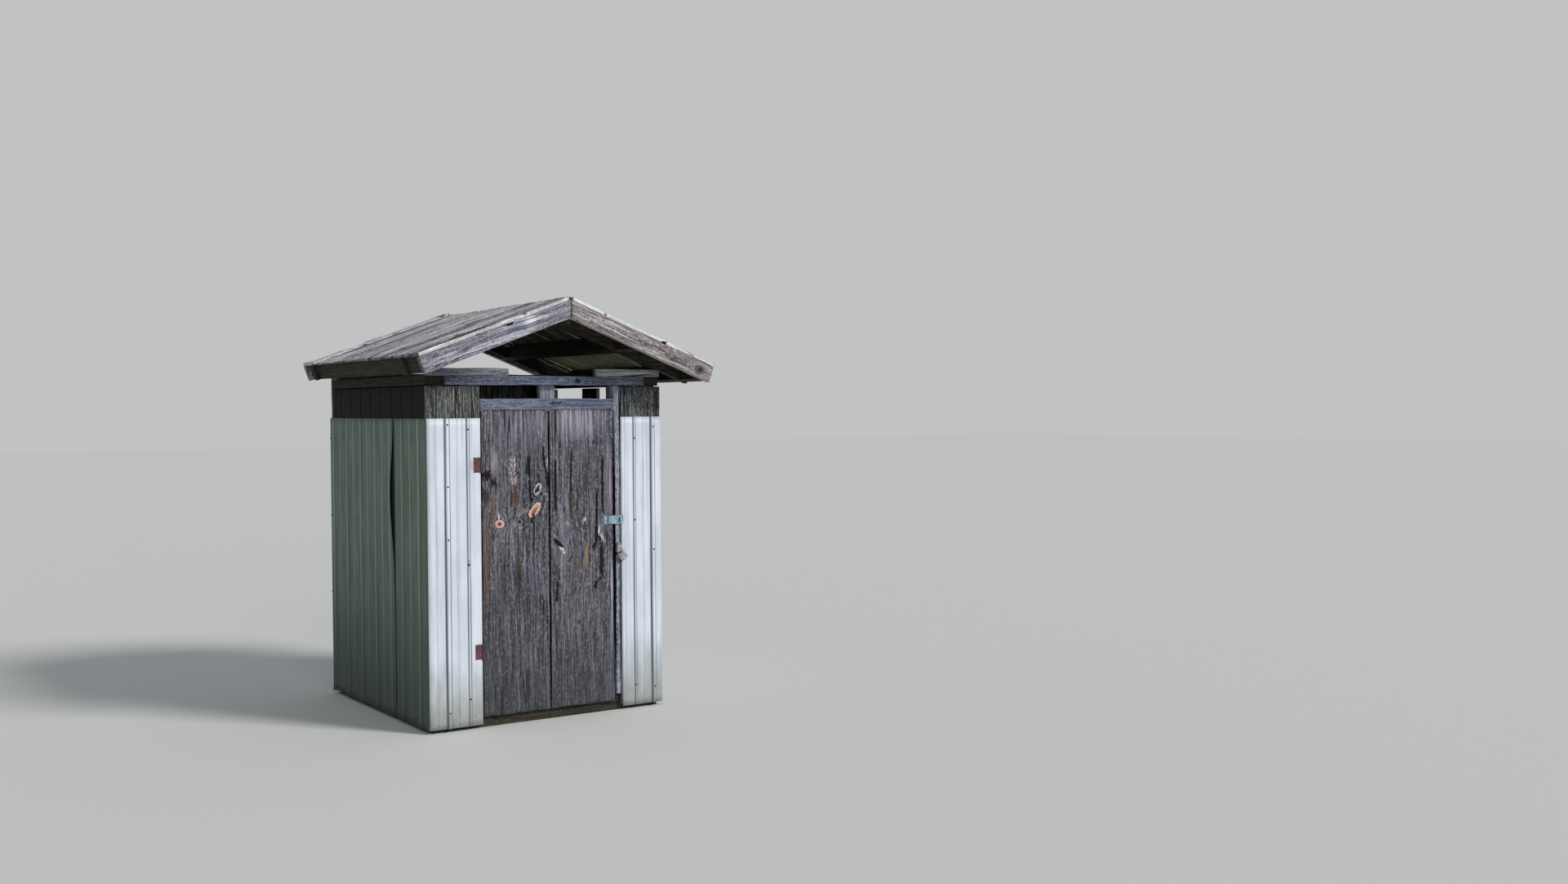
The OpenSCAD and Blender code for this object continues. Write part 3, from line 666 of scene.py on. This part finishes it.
# %% Plumb cuts
def plumb_cut(across, down, line):
    """Returns a reshape that closes a board's rows up so that its top end lies on the plumb
    plane x = line: shift = short of the line / |down x| * (high z - z) / (high z - low z)."""
    through = np.cross(down, across)
    side = math.copysign(1.0, down[0])

    def reshape(own, low, high):
        """Only rows that would start beyond the plane move, and the far end never does."""
        start = own[:, :2] @ np.array([across[0], through[0]]) + low[2] * down[0]
        short = np.maximum(0.0005 - (start - line) * side, 0.0) / abs(down[0])
        part = (high[2] - own[:, 2]) / (high[2] - low[2])
        return own + (short * part)[:, None] * [0.0, 0.0, 1.0]
    return reshape


# %% Door
worn_boards("door_planks", "door_boards", X, Z, door_wood, body="door", seed=3,
            cell=(0.010, 0.025), wear=0.005, ragged=0.007)
worn_boards("door_ledge_boards", "door_ledges", Z, X, frame_woods["X"], body="door",
            seed=4)

# %% Front wall
BUTTON_CUT = RIDGE_X + 0.372  # the plumb line, just outside the door's edge
for side, seed in (("left", 11), ("right", 12)):
    worn_boards(f"front_planks_{side}", f"front_boards_{side}", X, Z, wall_wood,
                seed=seed)
worn_boards("lintel_board", "door_lintel", Z, X, lintel_wood, seed=14)
worn_boards("header_board", "front_header", Z, X, header_wood, seed=15)
worn_boards("rafter_seat_blocks", "rafter_blocks", Z, X, plate_wood, seed=16)
worn_boards("vent_upright", "vent_post", X, Z, plate_wood, seed=17)
for side, seed in (("left", 18), ("right", 19)):
    worn_boards(f"jamb_strip_{side}", f"door_jamb_{side}", X, Z, jamb_wood, seed=seed)
worn_boards("turning_block", "turn_button", RISE["button"], DOWN["button"], button_wood, body="button",
            seed=20, cell=(0.004, 0.006), wear=0.006, ragged=0.010,
            reshape=plumb_cut(RISE["button"], DOWN["button"], BUTTON_CUT))

# %% Sides and back
for side, across, wood, seed in (("left", Y, side_wood_in_painted_shade, 21), ("right", Y, wall_wood, 22),
                                 ("back", X, wall_wood, 23)):
    worn_boards(f"{side}_planks", f"{side}_wall_boards", across, Z, wood, seed=seed)
worn_boards("back_header_board", "back_header", Z, X, plate_wood, seed=24)

# %% [markdown]
# ## Roof
# Roof boards and rakes run down the slope, so they are measured along it, and a board that leans
# over the ridge line is cut plumb there. No two boards have shrunk alike, so their tops lie up to
# 12 mm apart, and seen from the ground it is their steps that catch the light.

# %% Roof
def settled(y):
    """How far the top of the roof board at y lies under its solid's: 3 mm + 4.5 mm * (1 + sin(211 y)),
    and nothing at the outer boards, whose sawn edges still stand proud."""
    return 0.003 + 0.0045 * (1.0 + math.sin(211.0 * y)) if abs(y) < 0.78 else 0.0


def roof_reshape(side, down):
    """A plumb cut at the ridge, after the top face has come down on the unmoved underside."""
    cut = plumb_cut(Y, down, RIDGE_X)

    def reshape(own, low, high):
        """y = base + (y - base) * (1 - drop / thickness), with base on the underside."""
        base = high[1] if side == "left" else low[1]
        part = 1.0 - settled((low[0] + high[0]) / 2.0) / (high[1] - low[1])
        lower = own * [1.0, part, 1.0] + [0.0, base * (1.0 - part), 0.0]
        return cut(lower, low, high)
    return reshape


for number, (side, wood) in enumerate((("left", left_rake_wood), ("right", right_rake_wood))):
    down, rise = DOWN[side], RISE[side]
    worn_boards(f"roof_planks_{side}", f"roof_boards_{side}", Y, down, roof_wood, seed=31 + number,
                cell=(0.009, 0.03), wear=0.012, ragged=0.020, rim=0.005, cupped=0.006,
                reshape=roof_reshape(side, down))
    worn_boards(f"rake_plank_{side}", f"rake_board_{side}", rise, down, wood, seed=33 + number,
                wear=0.002, ragged=0.004, rim=0.005, reshape=plumb_cut(rise, down, RIDGE_X))

# %% [markdown]
# ## White ribbed steel
# The cladding is roll-formed steel sheet with a baked white paint. Every 229 mm a trapezoid rib
# stands 12 mm proud, with a low rib halfway between. Years outdoors chalk the paint, so it is matt
# and cloudy; rain carries dirt down from the boards above into the folds, and the ground splashes
# the foot. On the white walls the ribs' feet also carry painted shade. The sheet is a rib profile
# carried up its height, and Solidify gives it its thickness. The left wall stands in shade, and that
# shade is painted into it: its white is a darker, greener copy under a green film, darker still
# towards the ground, and its ribs get light lines as a painted highlight.

# %% Painted steel
def painted_steel(name, paint, chalk, grime, fold_dirt_and_painted_light, film, film_amount, foot_dirt_and_shade, foot_top, marks=()):
    """Baked white paint on rolled steel, chalked by weather, with run-off dirt and a film.

    fold_dirt_and_painted_light gathers at the ribs' feet: dirt with painted shade on the white walls,
    a painted highlight on the left wall. foot_dirt_and_shade rises to foot_top metres above the
    ground: splashed dirt, and on the left wall painted shade.
    """
    material, shader, add = new_material(name)
    place = add("TexCoord").node.outputs["Object"]
    height = add("SeparateXYZ", place).node.outputs["Z"]
    fold = add("Attribute", attribute_name="fold").node.outputs["Vector"]
    state = add("SeparateXYZ", fold).node.outputs

    cloud = noise(add, place, 90.0, 260.0, 4.0)
    streak = noise(add, place, 16.0, 800.0, 3.0, 0.6)
    speck = noise(add, place, 5.0, 9.0, 3.0, 0.6)
    colour = layer(add, paint, chalk, cloud, 0.36, 0.66)
    higher = add("MapRange", height, 0.2, 1.65, 0.25, 0.60)
    colour = layer(add, colour, grime, streak, 0.50, 0.72, higher)
    patchy = add("MapRange", cloud, 0.25, 0.75, 0.75 * film_amount, film_amount)
    colour = add("Mix", patchy, sockets={6: colour, 7: film}, data_type="RGBA")
    uneven = add("MapRange", streak, 0.3, 0.6, 0.6, 1.0)
    colour = layer(add, colour, fold_dirt_and_painted_light, state["X"], 0.1, 0.8, uneven)
    wobble = add("Math MULTIPLY_ADD", speck, 0.8, -0.4)
    for one in marks:
        reach, gap = mark_reach(add, place, one, wobble)
        colour = layer(add, colour, one["shade"], reach, 1.0, 1.0 - one["soft"], one["amount"])
    foot_height = add("Math MULTIPLY_ADD", cloud, 0.35, height)
    colour = layer(add, colour, foot_dirt_and_shade, foot_height, foot_top + 0.175, 0.19, 0.7)
    low_down = add("MapRange", foot_height, 0.30, 0.19, 0.0, 1.0)
    colour = layer(add, colour, "#7a4a30", speck, 0.58, 0.66, low_down)
    at_edge = add("MapRange", state["Y"], 0.2, 0.9, 0.0, 1.0)
    colour = layer(add, colour, "#6f5a4c", speck, 0.66, 0.72, at_edge)
    rough = add("MapRange", cloud, 0.3, 0.7, 0.42, 0.62)
    dents = noise(add, place, 60.0, 180.0, 2.0)
    normal = add("Bump", sockets={"Strength": 0.25, "Distance": 0.002, "Height": dents})
    set_sockets(shader, {"Base Color": colour, "Roughness": rough, "Normal": normal, "IOR": 1.5})
    return material


# A rust run beside the hinge, a dent drawn as a dark spot of painted shade with a painted highlight beside
# it, and a rust run below it.
front_marks = [mark(1000 * RIDGE_X + x, *rest) for x, *rest in (
    (-463, 1372, 13, 45, "#c4a097", 0.8), (-485.5, 859, 8, 12, "#555a63", 0.6),
    (-483.5, 878, 6, 6, "#6f747e", 0.6), (-485.5, 830, 4, 30, "#a5897c", 0.9, 0.6))]
# The white walls' rib feet (#5b6472) are darkened by dirt and by painted shade of the ribs; their foot
# (#767c6c) is splashed dirt.
white_steel = painted_steel("baked_white_paint_on_ribbed_steel", "#c9cfda", "#d9dde6", "#858d9a",
                            "#5b6472", "#c4cbd0", 0.15, "#767c6c", 0.45, front_marks)
# The left wall's shades are darker, greener copies of the white paint: painted shade under a green film.
# Its light rib colour is a painted highlight, and its foot is painted shade up to 1.1 m.
steel_in_painted_shade = painted_steel("white_paint_in_painted_shade_with_green_film", "#6f8277", "#5f7267", "#3a463b",
                             "#8a998f", "#435748", 0.62, "#26342a", 1.10)

# %% Ribbed sheets
SHEET_FOOT = 0.020
SHEET_TOP = 1.617
RIB_PITCH = 0.229


def rib_profile(across, ribs):
    """Height above the flat: h * clip((base - 2|x - c|) / (base - crest), 0, 1) for each rib,
    averaged over three places 1.5 mm apart so that every fold is a small round."""
    total = np.zeros_like(across)
    for centre, base, crest, height in ribs:
        for slip in (-0.0015, 0.0, 0.0015):
            slope = (base - 2.0 * abs(across + slip - centre)) / (base - crest)
            total += height / 3.0 * np.clip(slope, 0.0, 1.0)
    return total


def ribs_along(width, first, low_first=False):
    """Main and low ribs in turn, half a pitch apart, with a bead 2 mm high between each two."""
    steps = np.arange(-1, 4 * width / RIB_PITCH).astype(int)
    # base, crest and height of the main rib, the low rib and the bead
    kinds = {0: (0.026, 0.013, 0.012), 2: (0.014, 0.007, 0.005), 1: (0.009, 0.004, 0.002)}
    ribs = [(first + step * RIB_PITCH / 4.0, *kinds[1 if step % 2 else (step + 2 * low_first) % 4])
            for step in steps]
    return [rib for rib in ribs if 0.012 < rib[0] < width - 0.015]


def ribbed_sheet(corner, across, outward, width, first_rib, seed, low_first=False, bend=None):
    """Point = corner + across * s + up * z + outward * (0.75 mm + rib height + dents).

    s runs over the width, close together at the ribs, and z over the height. Dents are slow noise
    up to 0.8 mm, and the foot bends out by up to 4 mm. bend(s, z) gives a further shift across and
    outward. The fold attribute is 1 at a rib's foot.
    """
    rng = np.random.default_rng(seed)
    ribs = ribs_along(width, first_rib, low_first)
    near = [np.linspace(c - base / 2 - 0.006, c + base / 2 + 0.006, 21) for c, base, *_ in ribs]
    s = np.unique(np.round(np.concatenate([np.linspace(0, width, round(width / 0.03) + 2)] + near), 5))
    s = s[(s >= 0) & (s <= width)]
    z = np.linspace(SHEET_FOOT, SHEET_TOP, 41)
    profile = rib_profile(s, ribs)
    dents = 0.0008 * smooth_steps(rng, z, 0.25)[:, None] * smooth_steps(rng, s, 0.09)[None, :]
    foot = 0.004 * np.exp(-(z - SHEET_FOOT) / 0.03)[:, None] * smooth_steps(rng, s, 0.08)[None, :] ** 2
    out = 0.00075 + profile[None, :] + dents + foot
    ss, zz = np.meshgrid(s, z)
    aside = np.zeros_like(ss)
    if bend:
        aside, spring = bend(ss, zz)
        out = out + spring
    points = np.array(corner) + (ss + aside)[..., None] * across + zz[..., None] * Z
    points = points + out[..., None] * outward
    rows, count = ss.shape
    faces = grid_quads(rows, count, False)
    if np.dot(np.cross(across, Z), outward) < 0:
        faces = faces[:, ::-1]
    at_foot = np.zeros_like(s)
    for c, base, crest, h in ribs:
        spread = np.exp(-((abs(s - c) - base / 2) / 0.0045) ** 2)
        at_foot = np.maximum(at_foot, spread * min(1.0, h / 0.006))
    inside = np.minimum(np.minimum(ss, width - ss), np.minimum(zz - SHEET_FOOT, SHEET_TOP - zz))
    edge = np.exp(-inside / 0.006)
    fold = np.stack([np.broadcast_to(at_foot, ss.shape), edge, np.zeros_like(edge)], axis=2)
    return points.reshape(-1, 3), faces, fold.reshape(-1, 3)


def steel_piece(name, node, sheets, material):
    """Joins sheets into one piece that replaces the node, 1.1 mm thick."""
    points, faces, fold = joined([ribbed_sheet(*sheet) for sheet in sheets])
    piece = finish_piece(name, points, faces, material, "hut", [node], {"fold": fold})
    thick = piece.modifiers.new("thickness", "SOLIDIFY")
    thick.thickness = 0.0011
    thick.offset = 0.0


# %% Sheets on the walls
WALL_LEFT, WALL_RIGHT = RIDGE_X - LEFT_REACH, RIDGE_X + RIGHT_REACH
WALL_FRONT, WALL_BACK = -0.665, 0.805


def sprung_edge(s, z):
    """The sheet behind the open joint: g = exp(-((z - 1.2 m) / 0.28 m)^2) is how far it gapes there.

    Its edge springs out by 9 mm * g * exp(-s / 5 cm), and where it doesn't gape, the flat strip up
    to its first rib reaches 36 mm * (1 - g) * (1 - s / 14 mm) further towards the front sheet.
    """
    gape = np.exp(-((z - 1.2) / 0.28) ** 2)
    return -0.036 * (1.0 - gape) * np.clip(1.0 - s / 0.014, 0.0, 1.0), 0.009 * gape * np.exp(-s / 0.05)


# each sheet's lower corner, direction, outward side, width, first rib and seed
steel_piece("front_sheet_left", "steel_front_left",
            [((WALL_LEFT, WALL_FRONT, 0), X, -Y, 0.292, 0.108, 41)], white_steel)
steel_piece("front_sheet_right", "steel_front_right",
            [((RIDGE_X + 0.414, WALL_FRONT, 0), X, -Y, 0.251, 0.084, 42, True)], white_steel)
side_walls = (("left", WALL_LEFT, -X, steel_in_painted_shade), ("right", WALL_RIGHT, X, white_steel))
for side, wall, outward, material in side_walls:
    steel_piece(f"{side}_sheets", f"steel_{side}", [
        ((wall, WALL_FRONT, 0), Y, outward, 0.453, 0.124, 43),
        ((wall, WALL_FRONT + 0.501, 0), Y, outward, 0.969, 0.030, 44, False, sprung_edge)], material)
steel_piece("back_sheets", "steel_back", [
    ((WALL_RIGHT, WALL_BACK, 0), -X, Y, 0.685, 0.060, 45),
    ((WALL_RIGHT - 0.687, WALL_BACK, 0), -X, Y, 0.683, 0.060, 46)], white_steel)

# %% [markdown]
# ## Iron and small fixings
# The hinges are mild steel that has rusted through its plating, dark brown with lighter scale. The
# hasp's zinc has only gone dull and grey-green. Nail and screw heads are low domes: radius r from
# 0 to R and turn t give height h * (1 - (r / R)^2), the same few faces placed many times.

# %% Metals
def corroded_metal(name, shades, metallic, roughness, grain_mm):
    """Metal under its corrosion: a base shade, dark pits and light scale in noise of grain_mm."""
    base, dark, light = shades.split()
    material, shader, add = new_material(name)
    place = add("TexCoord").node.outputs["Object"]
    blotch = noise(add, place, grain_mm * 3, grain_mm * 4, 4.0, 0.65)
    fine = noise(add, place, grain_mm, grain_mm, 3.0, 0.6, 5.0)
    colour = layer(add, base, dark, blotch, 0.42, 0.62)
    colour = layer(add, colour, light, fine, 0.52, 0.68, 0.8)
    normal = add("Bump", sockets={"Strength": 0.5, "Distance": 0.0006, "Height": fine})
    set_sockets(shader, {"Base Color": colour, "Normal": normal, "Metallic": metallic,
                         "Roughness": roughness})
    return material


rusted_iron = corroded_metal("rusted_mild_steel", "#644248 #382228 #936d68", 0.1, 0.9, 4.0)
dull_zinc = corroded_metal("dull_zinc_plated_steel", "#89a3ac #6b8890 #b3c5cc", 0.2, 0.6, 6.0)
nail_iron = corroded_metal("rusted_nail_wire", "#3b2f2c #221a18 #6b5046", 0.1, 0.9, 2.0)
screw_zinc = corroded_metal("dulled_screw_zinc", "#6f7573 #4d5150 #90918c", 0.2, 0.7, 2.0)
node_metals = {"button_screw": nail_iron}
node_metals |= {name: rusted_iron for name in nodes if name.startswith("hinge_")}
node_metals |= {name: dull_zinc for name in nodes if name.startswith("hasp_")}
for name, metal in node_metals.items():
    nodes[name].data.materials.clear()
    nodes[name].data.materials.append(metal)
print("metal nodes:", len(node_metals))

# %% Domes
def domes(name, places, outward, radius, height, material, body="hut", sides=10,
          brim=0.0):
    """Low domes: point = place + r cos t * a + r sin t * b + h(r) * outward, h = height(1 - (r/R)^2).

    r takes six values from the rim in, the first one a hair under the surface; a brim keeps the
    outer part flat as a washer.
    """
    places = np.array(places, dtype=float)
    outward = np.broadcast_to(np.array(outward, dtype=float), places.shape)
    outward = outward / np.linalg.norm(outward, axis=1)[:, None]
    first = np.cross(outward, np.where(abs(outward[:, 2:]) > 0.9, X, Z))
    first = first / np.linalg.norm(first, axis=1)[:, None]
    second = np.cross(outward, first)
    r = np.array([1.0, 1.0, 0.92, 0.7, 0.4, 0.08]) * radius
    h = np.array([-0.3, 0.35, 0.6, 0.8, 0.95, 1.0]) * height
    if brim:
        r = np.array([1.0 + brim, 1.0 + brim, 1.0, 0.98, 0.85, 0.08]) * radius
        h = np.array([-0.2, 0.25, 0.3, 0.85, 1.0, 1.0]) * height
    t = np.linspace(0, 2 * np.pi, sides, endpoint=False)
    dome = np.stack([np.outer(r, np.cos(t)), np.outer(r, np.sin(t)), np.outer(h, np.ones(sides))], axis=2)
    points = places[:, None, None] + dome @ np.stack([first, second, outward], axis=1)[:, None]
    per = len(r) * sides
    last = per - sides
    steps = np.arange(0, sides - 2, 2)
    foot = np.stack([0 * steps, steps + 1, steps + 2, (steps + 3) % sides], axis=1)
    crown = foot + last
    foot = foot[:, ::-1]
    one = np.concatenate([grid_quads(len(r), sides, True), crown, foot])
    faces = (one[None] + per * np.arange(len(places))[:, None, None]).reshape(-1, 4)
    return finish_piece(name, points.reshape(-1, 3), faces, material, body)


# %% [markdown]
# ## Where the screws and nails sit
# Sheet screws stand on the ribs, in rows over the girts. Board nails go in pairs where a board
# crosses the timber behind it, and each sits on the face of the board that it holds.

# %% Screws and nails
RIB_FACE = 0.0134  # how far a main rib's crest stands off the boards
SCREW_ROWS = (0.10, 0.60, 1.05, 1.50)
front_rows = ((-0.597, RIB_FACE, (0.10, 0.993, 1.266, 1.585)), (-0.4825, 0.0064, (0.16, 0.859, 1.56)),
              (0.498, 0.0054, (0.13, 1.047, 1.499)), (0.6125, RIB_FACE, (0.11, 0.877, 1.561)))
places = [(RIDGE_X + x, WALL_FRONT - out, z) for x, out, heights in front_rows for z in heights]
domes("front_sheet_screws", places, -Y, 0.0034, 0.0040, nail_iron, sides=12, brim=0.4)
side_ribs = (-0.541, -0.312, -0.134, 0.095, 0.324, 0.553, 0.782)
back_ribs = (0.605, 0.376, 0.147, -0.082, -0.311, -0.540)
screw_walls = {
    "left": (-X, [(WALL_LEFT - RIB_FACE, y, z) for y in side_ribs for z in SCREW_ROWS]),
    "right": (X, [(WALL_RIGHT + RIB_FACE, y, z) for y in side_ribs for z in SCREW_ROWS]),
    "back": (Y, [(RIDGE_X + x, WALL_BACK + RIB_FACE, z) for x in back_ribs for z in SCREW_ROWS])}
for side, (outward, places) in screw_walls.items():
    domes(f"{side}_sheet_screws", places, outward, 0.0035, 0.0045, screw_zinc,
          sides=12, brim=0.5)


def nails_on(node, axes, rows, inset=0.03, sunk=lambda y: 0.0):
    """Two nails a row on each board, `inset` in from its sides, on its outer face.

    axes are across, outward and along, rows are distances along, and sunk lowers a board's face.
    """
    axes = np.array(axes)
    places = []
    for low, high in boards_in(node, axes):
        for row in rows:
            if low[2] + 0.01 < row < high[2] - 0.01:
                for x in (low[0] + inset, high[0] - inset):
                    face = high[1] - 0.0006 - sunk((low[0] + high[0]) / 2.0)
                    places.append(np.array([x, face, row]) @ axes)
    return places


FACING = (X, -Y, Z)
domes("door_nails", nails_on("door_boards", FACING, (0.365, 0.435, 1.339, 1.409), 0.05), -Y,
      0.0035, 0.0016, nail_iron, body="door")
wall_nails = [place for side in ("left", "right")
              for place in nails_on(f"front_boards_{side}", FACING, (1.76,), 0.025)]
domes("front_board_nails", wall_nails, -Y, 0.0035, 0.0016, nail_iron)
trim_places = {"front_header": ((-0.66, 1.812), (-0.39, 1.800), (0.367, 1.795), (0.64, 1.812)),
               "door_lintel": ((0.011, 1.693), (0.047, 1.691), (-0.39, 1.70), (0.36, 1.70))}
trim_nails = [(RIDGE_X + x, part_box(node)[0][1] + 0.0004, z)
              for node, places in trim_places.items() for x, z in places]
domes("header_and_lintel_nails", trim_nails, -Y, 0.0040, 0.0018, nail_iron)
for side in ("left", "right"):
    axes = (Y, RISE[side], DOWN[side])
    purlins = boards_in(f"purlins_{side}", axes)
    lines = sorted({round(float(low[2] + high[2]) / 2, 2) for low, high in purlins})
    start = min(low[2] for low, high in boards_in(f"roof_boards_{side}", axes))
    heads = nails_on(f"roof_boards_{side}", axes, [start + 0.05, *lines], sunk=settled)
    domes(f"roof_nails_{side}", heads, RISE[side], 0.0038, 0.0012, nail_iron)
    print("nail lines on the", side, "slope:", lines)

# %% [markdown]
# ## Floor, backdrop and light
# A plain pale floor takes the shadow. One wide lamp high at the front right stands for the sun
# that lights the door wall, a weak wide one softens the shade under the roof, and an even world
# fills the left side, so that a shade renders about as it is written.

# %% Floor and light
def plain_finish(name, shade, roughness):
    """A flat painted studio surface."""
    material, shader = new_material(name)[:2]
    set_sockets(shader, {"Base Color": shade, "Roughness": roughness})
    return material


FLOOR_REACH = 60.0
floor_mesh = bpy.data.meshes.new("studio_floor")
corners = [(FLOOR_REACH * x, FLOOR_REACH * y, 0) for x, y in ((-1, -1), (1, -1), (1, 1), (-1, 1))]
floor_mesh.from_pydata(corners, [], [(0, 1, 2, 3)])
studio_floor = bpy.data.objects.new("studio_floor", floor_mesh)
bpy.context.scene.collection.objects.link(studio_floor)
floor_mesh.materials.append(plain_finish("studio_floor_paint", "#d4d4d0", 0.9))


def sun_lamp(name, energy, width, where):
    """A wide distant lamp: width is its angle in degrees, and it shines from `where` to zero."""
    data = bpy.data.lights.new(name, "SUN")
    data.energy = energy
    data.angle = math.radians(width)
    lamp = bpy.data.objects.new(name, data)
    bpy.context.scene.collection.objects.link(lamp)
    lamp.rotation_euler = (math.acos(where[2] / math.dist(where, (0, 0, 0))), 0.0,
                           math.atan2(where[1], where[0]) + math.pi / 2)


sun_lamp("key_lamp", 2.35, 14, (0.50, -0.75, 0.62))
sun_lamp("fill_lamp", 0.5, 30, (-0.20, -0.95, 0.35))
world = bpy.data.worlds.new("studio_world")
bpy.context.scene.world = world
world.use_nodes = True
sky = world.node_tree
sky.nodes.clear()
seen = sky.nodes.new("ShaderNodeLightPath").outputs
direct = add_node(sky, "Math MAXIMUM", seen["Is Camera Ray"], seen["Is Glossy Ray"])
direct = add_node(sky, "Math MAXIMUM", direct, seen["Is Transmission Ray"])
fill = add_node(sky, "Background", "#dfe5ee", 0.38)
shown = add_node(sky, "Background", "#c1c3c2", 1.0)
both = add_node(sky, "MixShader", direct, fill, shown)
add_node(sky, "OutputWorld", both)
bpy.context.scene.view_settings.view_transform = "Standard"
print("lamps:", [lamp.name for lamp in bpy.data.lights])

# %% [markdown]
# ## Hand over
# Nodes that are still bare get their frame timber.

# %% Hand over
LYING = {"X": ("sill_front", "sill_back", "floor_joists", "rafters"),
         "Y": ("sill_left", "sill_right", "floor_boards", "side_plate_left", "side_plate_right",
               "ridge_beam", "purlins_left", "purlins_right", "wall_girts")}
wood_of = {name: frame_woods[axis] for axis, names in LYING.items() for name in names}
wood_of["back_rake_boards"] = back_rake_wood
for name, node in nodes.items():
    if not node.hide_render and name not in node_metals:
        node.data.materials.clear()
        node.data.materials.append(wood_of.get(name, frame_woods["Z"]))
